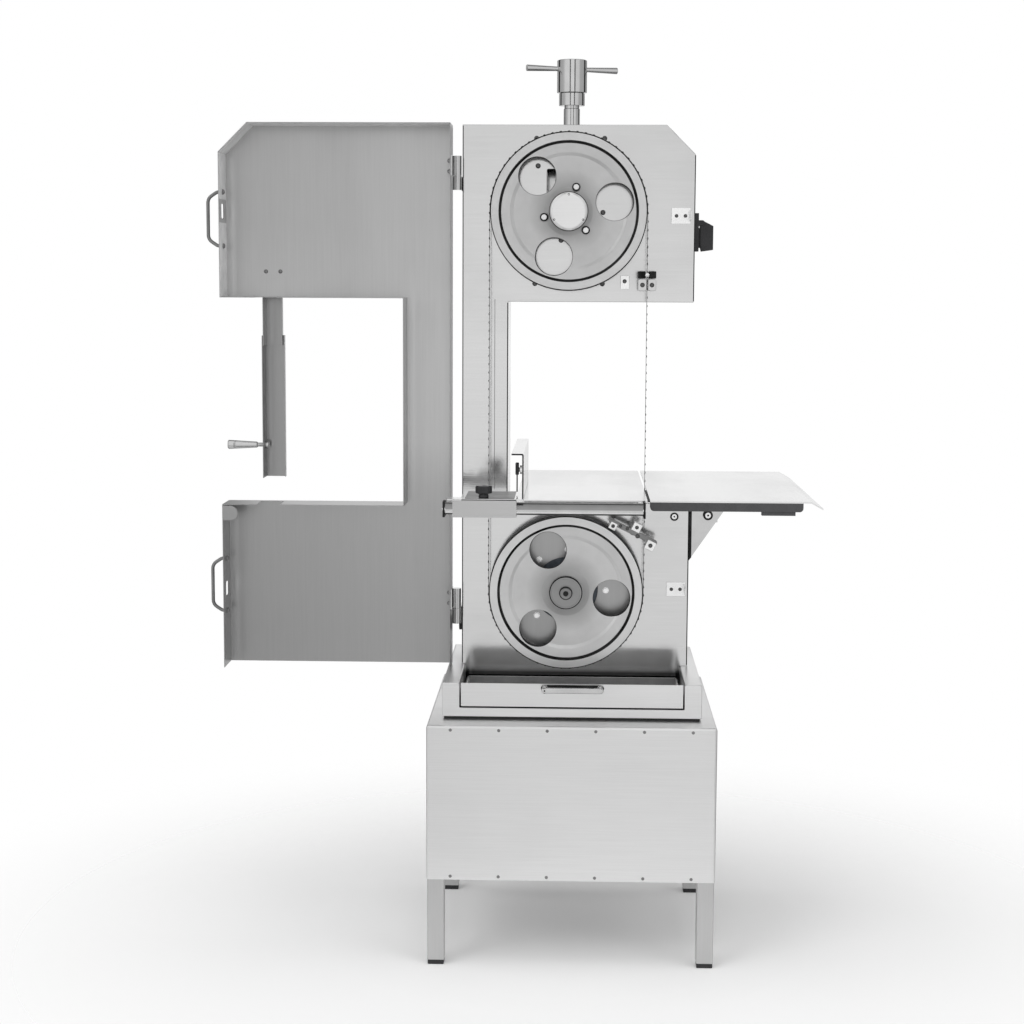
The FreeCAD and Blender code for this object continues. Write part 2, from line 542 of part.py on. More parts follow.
def wheel(z, first_hole, hub_r):
    """Flanged rim, web with a raised step and three round holes."""
    y0, y1 = WHEEL_FRONT, WHEEL_BACK
    rim = cyl_y(WHEEL_X, z, WHEEL_R, y0, y1).cut(cyl_y(WHEEL_X, z, RIM_INNER_R, y0 - 1, y1 + 1))
    flange = cyl_y(WHEEL_X, z, WHEEL_R + FLANGE_H, y1 - FLANGE_W, y1)
    flange = flange.cut(cyl_y(WHEEL_X, z, RIM_INNER_R, y1 - FLANGE_W - 1, y1 + 1))
    web_y = y0 + WEB_IN
    web = cyl_y(WHEEL_X, z, RIM_INNER_R + 1, web_y, web_y + WEB_T)
    step = cyl_y(WHEEL_X, z, STEP_R, web_y - STEP_H, web_y + WEB_T)
    boss = cyl_y(WHEEL_X, z, hub_r + BOSS_W, web_y - BOSS_H, y1)
    body = fuse([rim, flange, web, step, boss])
    for i in range(3):
        x, zz = polar(WHEEL_X, z, HOLE_PITCH_R, first_hole + 120 * i)
        body = body.cut(cyl_y(x, zz, HOLE_R, y0 - 1, y1 + 1))
    return body.cut(cyl_y(WHEEL_X, z, hub_r, y0 - 1, y1 + 1))


def upper_hub():
    """Bearing sleeve with its cover cap, and three hub bolts in the web."""
    front = WHEEL_FRONT - CAP_PROUD
    shoulder = front + CAP_DEPTH
    sleeve = cyl_y(WHEEL_X, UPPER_Z, HUB_R, shoulder, WHEEL_BACK)
    bearing_bore = cyl_y(WHEEL_X, UPPER_Z, SHAFT_R + FIT, STUB_FRONT - 2, WHEEL_BACK + 1)
    cap = cyl_y(WHEEL_X, UPPER_Z, CAP_R, front, shoulder)
    pocket = cyl_y(WHEEL_X, UPPER_Z, SHAFT_R + 2, front + 3, shoulder + 1)
    parts = [fuse([sleeve.cut(bearing_bore), cap.cut(pocket)])]
    for i in range(3):
        x, z = polar(WHEEL_X, UPPER_Z, HUB_BOLT_PITCH_R, HUB_BOLT_ANGLE + 120 * i)
        parts.append(cyl_y(x, z, HUB_BOLT_R, WHEEL_FRONT + 1, WHEEL_FRONT + 1 + HUB_BOLT_H))
    return parts


def motor_shaft():
    """The motor's shaft end with its key sleeve, washer and socket-head screw."""
    washer_y = HUB_FRONT - WASHER_T
    screw_y = washer_y - SHAFT_SCREW_H
    shaft = cyl_y(WHEEL_X, LOWER_Z, SHAFT_R, HUB_FRONT, MOTOR_SHAFT_BACK)
    sleeve = cyl_y(WHEEL_X, LOWER_Z, HUB_R, HUB_FRONT, WHEEL_BACK)
    washer = cyl_y(WHEEL_X, LOWER_Z, WASHER_R, washer_y, HUB_FRONT)
    screw = cyl_y(WHEEL_X, LOWER_Z, SHAFT_SCREW_R, screw_y, washer_y)
    socket = cyl_y(WHEEL_X, LOWER_Z, SOCKET_R, screw_y - 1, screw_y + SOCKET_DEPTH)
    return fuse([shaft, sleeve, washer, screw]).cut(socket)


def stadium(r):
    """The solid inside a belt of radius r that runs over both wheels."""
    left, right = WHEEL_X - r, WHEEL_X + r
    y = BLADE_Y0
    top = Part.Arc(V(right, y, UPPER_Z), V(WHEEL_X, y, UPPER_Z + r), V(left, y, UPPER_Z))
    low = Part.Arc(V(left, y, LOWER_Z), V(WHEEL_X, y, LOWER_Z - r), V(right, y, LOWER_Z))
    down = Part.makeLine(V(left, y, UPPER_Z), V(left, y, LOWER_Z))
    up = Part.makeLine(V(right, y, LOWER_Z), V(right, y, UPPER_Z))
    wire = Part.Wire([top.toShape(), down, low.toShape(), up])
    return Part.Face(wire).extrude(V(0, BLADE_Y1 - BLADE_Y0, 0))


def saw_blade():
    """The closed band: two straight runs and a half turn over each wheel."""
    return stadium(BLADE_R + BLADE_T).cut(stadium(BLADE_R))


# ---------------------------------------------------------------- guides and fittings


def upper_guide():
    """Bracket arm on the panel with a slot for the blade, and two guide blocks beside it."""
    x = BLADE_X
    front, back = BLADE_Y0 - GUIDE_FRONT, BLADE_Y1 + GUIDE_BACK
    arm = box(x - GUIDE_HALF, x + GUIDE_HALF, front, 0, GUIDE_Z1, GUIDE_Z2)
    slot = box(
        x - GUIDE_SLOT_L, x + GUIDE_SLOT_R, front - 1, BLADE_Y1 + 4, GUIDE_Z1 - 1, GUIDE_Z2 + 1
    )
    left = box(x - GUIDE_HALF, x - GUIDE_GAP_L, front, back, GUIDE_Z0, GUIDE_Z1)
    right = box(x + GUIDE_GAP_R, x + GUIDE_HALF, front, back, GUIDE_Z0, GUIDE_Z1)
    plate = box(PLATE_X0, PLATE_X1, -PLATE_T, 0, PLATE_Z0, PLATE_Z1)
    return [fuse([arm.cut(slot), left, right]), plate]


def lower_scraper():
    """Sloping bar on a post, with a scraper block for the wheel and a guide block."""
    half, thick = SCRAPER_HALF, SCRAPER_THICK
    bar = box(-half, half, SCRAPER_Y0, SCRAPER_Y1, -thick, thick)
    bar.rotate(V(0, 0, 0), V(0, 1, 0), SCRAPER_TILT)
    bar.translate(V(SCRAPER_X, 0, SCRAPER_Z))
    post = cyl_y(SCRAPER_X, SCRAPER_Z, POST_R, POST_FRONT, 0)
    wiper = box(*WIPER)
    end = box(
        BLADE_X + END_BLOCK_X0, BLADE_X + END_BLOCK_X1, SCRAPER_Y0, BLADE_Y1 + 4,
        END_BLOCK_Z0, END_BLOCK_Z1,
    )
    return fuse([bar, post, wiper, end])


def latch_plates():
    """Two angle plates at the housing's right edge that the closed door's flange pulls against."""
    plates = []
    right = PANEL_R - LATCH_IN
    for z0, z1 in LATCH_SPANS:
        plate = box(right - LATCH_W, right, -LATCH_T, 0, z0, z1)
        tab = box(right - LATCH_T, right, -LATCH_REACH, 0, z0 + 4, z1 - 4)
        plates.append(fuse([plate, tab]))
    return plates


def interlock_sensor():
    """A nearly flush sensor disc in the lower panel."""
    return cyl_y(SENSOR_X, SENSOR_Z, SENSOR_R, -SENSOR_PROUD, 0)


def panel_screws():
    """Every bolt head on the front panel and its fittings."""
    screws = []
    for x, z in PANEL_BOLTS:
        screws.append(cyl_y(x, z, PANEL_BOLT_R, -BOLT_H, 0))
    for z0, z1 in LATCH_SPANS:
        for dx in LATCH_SCREWS:
            x, z = PANEL_R - dx, (z0 + z1) / 2
            screws.append(cyl_y(x, z, LATCH_SCREW_R, -LATCH_T - 2, -LATCH_T))
    y = -PLATE_T
    screws.append(cyl_y(PLATE_SCREW_X, PLATE_SCREW_Z, PLATE_SCREW_R, y - SMALL_BOLT_H, y))
    y = BLADE_Y0 - GUIDE_FRONT
    for dx in (-GUIDE_SCREW_X, GUIDE_SCREW_X):
        screws.append(cyl_y(BLADE_X + dx, GUIDE_SCREW_Z, GUIDE_SCREW_R, y - SMALL_BOLT_H, y))
    return screws


def column_hinges():
    """The two fixed knuckles with their pins, each on a leaf welded to the column's side."""
    knuckles = []
    for z0, z1, z2 in HINGES:
        leaf = box(PANEL_L - LEAF_T, PANEL_L, HINGE_Y, LEAF_BACK, z0, z1)
        barrel = cyl_z(HINGE_X, HINGE_Y, HINGE_R, z0, z1)
        pin = cyl_z(HINGE_X, HINGE_Y, PIN_R, z1, z2 - PIN_SHORT)
        knuckles.append(fuse([leaf, barrel, pin]))
    return knuckles


def door_hinges():
    """The two lift-off knuckles on leaves bolted to the door's hinge-side flange."""
    knuckles = []
    for z0, z1, z2 in HINGES:
        low = z1 + KNUCKLE_PLAY
        leaf = box(DOOR_R, DOOR_R + LEAF_T, HINGE_Y - LEAF_HALF, HINGE_Y + LEAF_HALF, low, z2)
        barrel = cyl_z(HINGE_X, HINGE_Y, HINGE_R, low, z2)
        bore = cyl_z(HINGE_X, HINGE_Y, PIN_R + FIT, z1, z2 - 4)
        knuckles.append(fuse([leaf, barrel]).cut(bore))
    return knuckles


# ---------------------------------------------------------------- door


def door_upper():
    """The upper tray of the door, with its chamfered corner and the blade notch below."""

    def outline(inset):
        c = CHAMFER + inset * 0.4
        return [
            (DOOR_L + inset, DOOR_UP_BOTTOM + inset), (DOOR_R - inset, DOOR_UP_BOTTOM + inset),
            (DOOR_R - inset, DOOR_TOP - inset), (DOOR_L + c, DOOR_TOP - inset),
            (DOOR_L + inset, DOOR_TOP - c),
        ]

    tray = prism_y(outline(0), -DOOR_DEPTH, 0)
    tray = tray.cut(prism_y(outline(DOOR_T), -DOOR_DEPTH - 1, -DOOR_T))
    passage = box(
        DOOR_STRIP_L + DOOR_T, DOOR_R - DOOR_T, -DOOR_DEPTH - 1, -DOOR_T,
        DOOR_UP_BOTTOM - 1, DOOR_UP_BOTTOM + 5,
    )
    notch = box(
        NOTCH_X0, NOTCH_X1, -DOOR_DEPTH - 1, -DOOR_DEPTH + NOTCH_D,
        DOOR_UP_BOTTOM - 1, DOOR_UP_BOTTOM + 5,
    )
    z0, z1 = LATCH_SPANS[0]
    slot = box(DOOR_L - 1, DOOR_L + 5, LATCH_SLOT_Y0, LATCH_SLOT_Y1, z0 + 6, z1 + 4)
    return tray.cut(passage).cut(notch).cut(slot)


def door_strip():
    strip = box(DOOR_STRIP_L, DOOR_R, -DOOR_DEPTH, 0, DOOR_LOW_TOP, DOOR_UP_BOTTOM)
    hollow = box(
        DOOR_STRIP_L + DOOR_T, DOOR_R - DOOR_T, -DOOR_DEPTH - 1, -DOOR_T,
        DOOR_LOW_TOP - 1, DOOR_UP_BOTTOM + 1,
    )
    return strip.cut(hollow)


def door_lower():
    """The lower tray: open at the bottom, with the blade notch in its top flange."""
    tray = box(DOOR_L, DOOR_R, -DOOR_DEPTH, 0, DOOR_BOTTOM, DOOR_LOW_TOP)
    hollow = box(
        DOOR_L + DOOR_T, DOOR_R - DOOR_T, -DOOR_DEPTH - 1, -DOOR_T,
        DOOR_BOTTOM - 1, DOOR_LOW_TOP - DOOR_T,
    )
    passage = box(
        DOOR_STRIP_L + DOOR_T, DOOR_R - DOOR_T, -DOOR_DEPTH - 1, -DOOR_T,
        DOOR_LOW_TOP - 5, DOOR_LOW_TOP + 1,
    )
    notch = box(
        NOTCH_X0, NOTCH_X1, -DOOR_DEPTH - 1, -DOOR_DEPTH + NOTCH_D,
        DOOR_LOW_TOP - 5, DOOR_LOW_TOP + 1,
    )
    z0, z1 = LATCH_SPANS[1]
    slot = box(DOOR_L - 1, DOOR_L + 5, LATCH_SLOT_Y0, LATCH_SLOT_Y1, z0, z1)
    return tray.cut(hollow).cut(passage).cut(notch).cut(slot)


def door_handles():
    """Two wire pulls: a straight grip with two legs into the door's outer flange."""
    pulls = []
    x = DOOR_L - HANDLE_REACH
    for z0, z1 in HANDLE_SPANS:
        grip = cyl_z(x, HANDLE_Y, HANDLE_R, z0, z1)
        legs_made = [cyl_x(HANDLE_Y, z, HANDLE_R, x, DOOR_L) for z in (z0, z1)]
        bends = [Part.makeSphere(HANDLE_R, V(x, HANDLE_Y, z)) for z in (z0, z1)]
        pulls.append(fuse([grip] + legs_made + bends))
    return pulls


def door_nuts():
    """Cap nuts of the hinge leaves and the pulls, and the guard bracket's two screw heads."""
    nuts = []
    inner = DOOR_R - DOOR_T
    for z0, z1, z2 in HINGES:
        for z in (z1 + NUT_INSET, z2 - NUT_INSET):
            nuts.append(cyl_x(HINGE_Y, z, NUT_R, inner - NUT_H, inner))
    inner = DOOR_L + DOOR_T
    for z0, z1 in HANDLE_SPANS:
        for z in (z0, z1):
            nuts.append(cyl_x(HANDLE_Y, z, PULL_NUT_R, inner, inner + PULL_NUT_H))
    for x in BRACKET_SCREW_X:
        face = -DOOR_T
        nuts.append(cyl_y(x, BRACKET_SCREW_Z, BRACKET_SCREW_R, face - BRACKET_SCREW_H, face))
    return nuts


def interlock_tongue():
    """The D-shaped tongue that lies over the sensor when the door is closed."""
    x0 = DOOR_L + DOOR_T
    y0 = -DOOR_DEPTH + 0.2
    y1 = y0 + TONGUE_T
    root = box(x0, x0 + TONGUE_R, y0, y1, TONGUE_Z - TONGUE_R, TONGUE_Z + TONGUE_R)
    return fuse([root, cyl_y(x0 + TONGUE_R, TONGUE_Z, TONGUE_R, y0, y1)])


def channel(x0, x1, y0, y1, z0, z1):
    """Folded guard section: a front plate, one deep wall on its left and a short right lip."""
    plate = box(x0, x1, y1 - SHEET, y1, z0, z1)
    wall = box(x0, x0 + SHEET, y0, y1, z0, z1)
    lip = box(x1 - SHEET, x1, y1 - GUARD_LIP, y1, z0, z1)
    return fuse([plate, wall, lip])


def guard_bracket():
    body = channel(GUARD_X0, GUARD_X1, 0, GUARD_Y1, GUARD_STEP, GUARD_BR_TOP)
    foot = box(GUARD_X0, GUARD_X1 + GUARD_FOOT_X, 0, SHEET, GUARD_FOOT_Z, GUARD_BR_TOP)
    return fuse([body, foot])


def guard_channel():
    g = GUARD_GAP
    body = channel(
        GUARD_X0 - g - SHEET, GUARD_X1 + g + SHEET, GUARD_FRONT, GUARD_Y1 + g + SHEET,
        GUARD_BOTTOM, GUARD_CH_TOP,
    )
    hole = cyl_x(CLAMP_Y, CLAMP_Z, CLAMP_R + FIT, GUARD_X0 - 10, GUARD_X0 + 2)
    return body.cut(hole)


def guard_handle():
    """Tapered grip, its stud through the guard's deep wall, and the nut inside."""
    wall = GUARD_X0 - GUARD_GAP - SHEET
    outside = wall - CLAMP_PLAY
    inside = wall + SHEET + CLAMP_PLAY
    grip = Part.makeCone(
        GRIP_R0, GRIP_R1, GRIP_L, V(wall - GRIP_OFF, CLAMP_Y, CLAMP_Z), V(-1, 0, 0)
    )
    washer = cyl_x(CLAMP_Y, CLAMP_Z, CLAMP_WASHER_R, outside - CLAMP_WASHER_T, outside)
    stud = cyl_x(CLAMP_Y, CLAMP_Z, CLAMP_R, wall - GRIP_OFF - 1, inside + CLAMP_NUT_T)
    nut = cyl_x(CLAMP_Y, CLAMP_Z, CLAMP_NUT_R, inside, inside + CLAMP_NUT_T)
    return fuse([grip, washer, stud, nut])


# ---------------------------------------------------------------- table


def fixed_table():
    """The left table sheet, its narrow strip in front of the column, and two support bars."""
    sheet = box(TABLE_L, GAP_L, TABLE_FRONT, TABLE_BACK, TABLE_Z - TABLE_T, TABLE_Z)
    strip = box(STRIP_L, TABLE_L + 1, TABLE_FRONT, STRIP_BACK, TABLE_Z - TABLE_T, TABLE_Z)
    bars = []
    x0, x1 = TABLE_L + SUPPORT_INSET, GAP_L - SUPPORT_INSET
    for y0 in SUPPORT_Y:
        bars.append(box(x0, x1, y0, y0 + SUPPORT_W, LOWER_TOP, TABLE_Z - TABLE_T))
    return fuse([sheet, strip] + bars)


def front_rail():
    """The polished rail between two end plates that hang from the table's front edge."""
    tube = cyl_x(RAIL_Y, RAIL_Z, RAIL_R, RAIL_L, RAIL_END)
    front, back = RAIL_Y - END_FRONT, TABLE_FRONT + END_BACK
    ends = []
    for x in (RAIL_L, RAIL_END - END_T):
        ends.append(box(x, x + END_T, front, TABLE_FRONT, RAIL_BOTTOM, TABLE_Z - 1))
        ends.append(box(x, x + END_T, TABLE_FRONT, back, RAIL_BOTTOM, TABLE_Z - TABLE_T))
    return fuse([tube] + ends)


def sliding_table():
    """The right table sheet with the drooping edge along its right side."""
    z0, z1 = TABLE_Z - TABLE_T, TABLE_Z
    outline = [
        (GAP_R, z0), (TABLE_R, z0), (TABLE_R + TABLE_DROP_X, z0 - TABLE_DROP_Z),
        (TABLE_R + TABLE_DROP_X, z1 - TABLE_DROP_Z), (TABLE_R, z1), (GAP_R, z1),
    ]
    return prism_y(outline, TABLE_FRONT, TABLE_BACK)


def table_front_bar():
    """The dark moulded bar below the front edge, with the stop under its right end."""
    top = TABLE_Z - TABLE_T
    bar = box(GAP_R, FRONT_BAR_R, TABLE_FRONT, TABLE_FRONT + FRONT_BAR_D, FRONT_BAR_Z, top)
    edges = []
    for edge in bar.Edges:
        bounds = edge.BoundBox
        if abs(bounds.ZMax - FRONT_BAR_Z) < 0.01 and bounds.YLength > 10:
            edges.append(edge)
    bar = bar.makeFillet(FRONT_BAR_ROUND, edges)
    stop = box(
        STOP_X0, STOP_X1, TABLE_FRONT + STOP_IN, TABLE_FRONT + FRONT_BAR_D - STOP_IN,
        FRONT_BAR_Z - STOP_H, FRONT_BAR_Z + 1,
    )
    return fuse([bar, stop])


def bearing_blocks():
    """Two bored blocks under the sliding table that run on the guide rod."""
    blocks = []
    x0, x1 = ROD_X - BLOCK_X, ROD_X + BLOCK_X
    for y0 in BLOCK_Y:
        y1 = y0 + BLOCK_W
        block = box(x0, x1, y0, y1, ROD_Z - BLOCK_DOWN, TABLE_Z - TABLE_T)
        blocks.append(block.cut(cyl_y(ROD_X, ROD_Z, ROD_R + FIT, y0 - 1, y1 + 1)))
    return blocks


def table_bracket():
    """Two triangular gussets on a side plate, welded to the lower housing's right wall."""
    x0 = PANEL_R - 2
    side = box(x0, x0 + PANEL_T, ROD_Y0, ROD_Y1, GUSSET_PLATE_Z, LOWER_TOP)
    gussets = []
    for y in (ROD_Y0, ROD_Y1 - GUSSET_T):
        outline = [
            (x0, GUSSET_APEX), (GUSSET_R, GUSSET_EDGE_Z), (GUSSET_R, LOWER_TOP), (x0, LOWER_TOP),
        ]
        gussets.append(prism_y(outline, y, y + GUSSET_T))
    return fuse([side] + gussets).cut(cyl_y(ROD_X, ROD_Z, ROD_R, ROD_Y0 - 1, ROD_Y1 + 1))


def guide_rod():
    """The rod of the sliding table, with a washer and screw on its front end."""
    face = ROD_Y0 - ROD_WASHER_T
    rod = cyl_y(ROD_X, ROD_Z, ROD_R, ROD_Y0, ROD_Y1)
    washer = cyl_y(ROD_X, ROD_Z, ROD_WASHER_R, face, ROD_Y0)
    head = cyl_y(ROD_X, ROD_Z, ROD_HEAD_R, face - ROD_HEAD_T, face)
    return fuse([rod, washer, head])


# ---------------------------------------------------------------- fence


def fence():
    """Base plate over the rail carriage, upright plate with a top lip, and the lever's boss."""
    z0 = BASE_Z
    base = box(BASE_L, FENCE_X, RAIL_Y - CAR_HALF, BASE_BACK, z0, z0 + BASE_T)
    base = base.cut(cyl_z(KNOB_X, RAIL_Y, STUD_R + FIT, z0 - 1, z0 + BASE_T + 1))
    upright = box(FENCE_X - 3, FENCE_X, TABLE_FRONT, FENCE_BACK, z0, FENCE_TOP)
    lip = box(FENCE_LIP_X, FENCE_X, TABLE_FRONT, FENCE_BACK, FENCE_TOP - 3, FENCE_TOP)
    boss = cyl_x(LEVER_Y, LEVER_Z, LEVER_BOSS_R, FENCE_X - LEVER_BOSS_L, FENCE_X - 2)
    bore = cyl_x(LEVER_Y, LEVER_Z, STUD_R + FIT, FENCE_X - LEVER_BOSS_L - 1, FENCE_X - 1.5)
    return fuse([base, upright, lip, boss]).cut(bore)


def fence_carriage():
    block = box(CAR_L, CAR_R, RAIL_Y - CAR_HALF, RAIL_Y + CAR_HALF, RAIL_BOTTOM, BASE_Z)
    rail_bore = cyl_x(RAIL_Y, RAIL_Z, RAIL_R + FIT, CAR_L - 1, CAR_R + 1)
    stud_bore = cyl_z(KNOB_X, RAIL_Y, STUD_R + FIT, RAIL_Z, BASE_Z + 1)
    return block.cut(rail_bore).cut(stud_bore)


def fence_knob():
    """Five-lobed star knob with its clamping stud."""
    z0 = BASE_Z + BASE_T + STAR_PLAY
    core = cyl_z(KNOB_X, RAIL_Y, STAR_R, z0, z0 + STAR_H)
    lobes = []
    for i in range(LOBE_COUNT):
        x, y = polar(KNOB_X, RAIL_Y, STAR_R, 90 + 360 / LOBE_COUNT * i)
        lobes.append(cyl_z(x, y, LOBE_R, z0 + STAR_NECK, z0 + STAR_H))
    stud = cyl_z(KNOB_X, RAIL_Y, STUD_R, RAIL_Z + RAIL_R + 0.4, z0 + 2)
    return fuse([core, stud] + lobes)


def fence_lever():
    """The small clamping lever on its stud."""
    x = FENCE_X - LEVER_BOSS_L
    stud = cyl_x(LEVER_Y, LEVER_Z, STUD_R, x - 8, x + 6)
    arm = box(
        x - 2 - LEVER_T, x - 2, LEVER_Y - LEVER_HALF, LEVER_Y + LEVER_HALF,
        LEVER_Z - LEVER_DOWN, LEVER_Z + LEVER_UP,
    )
    return fuse([stud, arm])


# ---------------------------------------------------------------- switch


def switch_box():
    """Mounting plate and button block, with two lugs that carry the flap's pin."""
    inset = SWITCH_BLOCK_INSET
    mid = (SWITCH_Y0 + SWITCH_Y1) / 2
    face = PANEL_R + SWITCH_PLATE_T
    front = PANEL_R + SWITCH_BLOCK_T
    plate = box(PANEL_R, face, SWITCH_Y0, SWITCH_Y1, SWITCH_Z0, SWITCH_Z1)
    block = box(
        face, front, SWITCH_Y0 + inset, SWITCH_Y1 - inset,
        SWITCH_Z0 + SWITCH_BLOCK_Z0, SWITCH_Z0 + SWITCH_BLOCK_Z1,
    )
    lugs = []
    for y in (SWITCH_Y0, SWITCH_Y1 - LUG_T):
        root = box(face, FLAP_HINGE_X, y, y + LUG_T, FLAP_HINGE_Z - LUG_R, FLAP_HINGE_Z + LUG_R)
        lugs.append(fuse([root, cyl_y(FLAP_HINGE_X, FLAP_HINGE_Z, LUG_R, y, y + LUG_T)]))
    body = fuse([plate, block] + lugs)
    for dz in BUTTON_Z:
        hole = cyl_x(mid, SWITCH_Z0 + dz, BUTTON_R + BUTTON_PLAY, PANEL_R + 12, front + 1)
        body = body.cut(hole)
    pin_r = FLAP_PIN_R + FIT
    return body.cut(cyl_y(FLAP_HINGE_X, FLAP_HINGE_Z, pin_r, SWITCH_Y0 - 1, SWITCH_Y1 + 1))


def button(dz):
    mid = (SWITCH_Y0 + SWITCH_Y1) / 2
    return cyl_x(mid, SWITCH_Z0 + dz, BUTTON_R, PANEL_R + BUTTON_BACK, PANEL_R + BUTTON_FRONT)


def start_button():
    return button(BUTTON_Z[1])


def stop_button():
    return button(BUTTON_Z[0])


def switch_flap():
    """The hooded stop flap on its hinge pin, open below and behind."""
    x0, x1 = PANEL_R + FLAP_BACK, PANEL_R + FLAP_FRONT
    outline = [
        (x0, FLAP_TOP), (x0 + 5, FLAP_TOP), (x1, FLAP_TOP - 10), (x1, SWITCH_Z0 + 3),
        (x0 + 3, SWITCH_Z0), (x0, SWITCH_Z0 + 12),
    ]
    y0, y1 = SWITCH_Y0 + FLAP_INSET, SWITCH_Y1 - FLAP_INSET
    wall = FLAP_WALL
    hood = prism_y(outline, y0, y1)
    hollow = box(x0 - 1, x1 - wall, y0 + wall, y1 - wall, SWITCH_Z0 - 1, SWITCH_Z0 + 48)
    pin = cyl_y(FLAP_HINGE_X, FLAP_HINGE_Z, FLAP_PIN_R, SWITCH_Y0, SWITCH_Y1)
    return fuse([hood.cut(hollow), pin])


NODES = {
    "legs": legs,
    "stand_top": stand_top,
    "aprons": aprons,
    "apron_screws": apron_screws,
    "plinth_cheeks": plinth_cheeks,
    "plinth_base": plinth_base,
    "plinth_deck": plinth_deck,
    "panel_upper": panel_upper,
    "panel_column": panel_column,
    "panel_lower": panel_lower,
    "shell_upper": shell_upper,
    "shell_column": shell_column,
    "shell_lower": shell_lower,
    "rear_covers": rear_covers,
    "cover_screws": cover_screws,
    "motor": motor,
    "motor_screws": motor_screws,
    "cable_gland": cable_gland,
    "tension_tower": tension_tower,
    "carriage_rails": carriage_rails,
    "column_hinges": column_hinges,
    "latch_plates": latch_plates,
    "interlock_sensor": interlock_sensor,
    "upper_guide": upper_guide,
    "lower_scraper": lower_scraper,
    "panel_screws": panel_screws,
    "table_bracket": table_bracket,
    "guide_rod": guide_rod,
    "fixed_table": fixed_table,
    "front_rail": front_rail,
    "saw_blade": saw_blade,
    "switch_box": switch_box,
    "door_upper": door_upper,
    "door_strip": door_strip,
    "door_lower": door_lower,
    "door_hinges": door_hinges,
    "door_handles": door_handles,
    "door_nuts": door_nuts,
    "interlock_tongue": interlock_tongue,
    "guard_bracket": guard_bracket,
    "guard_channel": guard_channel,
    "guard_handle": guard_handle,
    "drawer": drawer,
    "drawer_handle": drawer_handle,
    "sliding_table": sliding_table,
    "table_front_bar": table_front_bar,
    "bearing_blocks": bearing_blocks,
    "fence": fence,
    "fence_carriage": fence_carriage,
    "fence_knob": fence_knob,
    "fence_lever": fence_lever,
    "tension_handle": tension_handle,
    "wheel_carriage": wheel_carriage,
    "upper_wheel": lambda: wheel(UPPER_Z, UPPER_HOLE_ANGLE, HUB_R),
    "upper_hub": upper_hub,
    "lower_wheel": lambda: wheel(LOWER_Z, LOWER_HOLE_ANGLE, HUB_R),
    "motor_shaft": motor_shaft,
    "start_button": start_button,
    "stop_button": stop_button,
    "switch_flap": switch_flap,
}

os.makedirs("parts", exist_ok=True)
for name, make in NODES.items():
    save(name, make())
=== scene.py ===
import json
import math

import bmesh
import bpy
from mathutils import Matrix, Vector

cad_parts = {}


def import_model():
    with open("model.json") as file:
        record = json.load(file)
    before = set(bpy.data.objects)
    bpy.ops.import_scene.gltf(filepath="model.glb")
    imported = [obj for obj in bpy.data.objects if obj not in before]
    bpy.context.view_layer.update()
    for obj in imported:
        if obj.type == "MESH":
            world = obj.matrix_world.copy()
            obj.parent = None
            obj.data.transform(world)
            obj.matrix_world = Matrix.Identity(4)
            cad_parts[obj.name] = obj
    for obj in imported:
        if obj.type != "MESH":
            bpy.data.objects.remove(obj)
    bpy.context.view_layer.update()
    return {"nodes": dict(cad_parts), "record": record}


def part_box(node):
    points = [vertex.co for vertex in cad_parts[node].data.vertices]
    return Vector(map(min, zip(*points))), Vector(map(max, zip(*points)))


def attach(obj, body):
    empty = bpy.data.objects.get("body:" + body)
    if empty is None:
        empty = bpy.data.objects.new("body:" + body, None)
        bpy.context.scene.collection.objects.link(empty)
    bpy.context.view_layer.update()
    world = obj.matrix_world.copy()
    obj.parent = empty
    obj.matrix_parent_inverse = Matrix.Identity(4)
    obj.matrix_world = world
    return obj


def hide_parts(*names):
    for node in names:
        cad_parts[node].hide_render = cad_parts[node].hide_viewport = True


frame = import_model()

# Pieces are drawn in millimetres; make_object() scales them to metres.
MM = 0.001
X, Y, Z = Vector((1, 0, 0)), Vector((0, 1, 0)), Vector((0, 0, 1))

SHEET, FOLD = 1.5, 2.2
CHAMFER = 55
RAIL_Y, RAIL_Z = -271, 868
HOLE_STEP = 120

SLOT_OF = {s["node"]: s["material_slot"] for s in frame["record"]["subparts"]}
JOINTS = {j["name"]: j for j in frame["record"]["behaviour"]["joints"]}


def box(node):
    """Lowest and highest corners of a CAD node, in millimetres."""
    lo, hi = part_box(node)
    return lo / MM, hi / MM


# ------------------------------------------------------------------ materials


def feed(tree, target, inputs):
    """Links each input to the socket given for it, or sets it to the value given."""
    for key, value in inputs.items():
        if isinstance(value, bpy.types.NodeSocket):
            tree.links.new(value, target.inputs[key])
        else:
            target.inputs[key].default_value = value


def node(tree, kind, inputs, **settings):
    made = tree.nodes.new("ShaderNode" + kind)
    for key, value in settings.items():
        setattr(made, key, value)
    feed(tree, made, inputs)
    return made.outputs


def new_material(name, metallic=0.0):
    mat = bpy.data.materials.new(name)
    mat.use_nodes = True
    tree = mat.node_tree
    bsdf = tree.nodes["Principled BSDF"]
    bsdf.inputs["Metallic"].default_value = metallic
    return mat, tree, bsdf


def object_point(tree):
    return node(tree, "TexCoord", {})["Object"]


def noise(tree, scale_xyz, scale, detail, rough=0.55):
    """Noise in object space, stretched by scale_xyz."""
    mapping = node(tree, "Mapping", {"Scale": scale_xyz, "Vector": object_point(tree)})
    inputs = {"Scale": scale, "Detail": detail, "Roughness": rough, "Vector": mapping["Vector"]}
    return node(tree, "TexNoise", inputs)["Fac"]


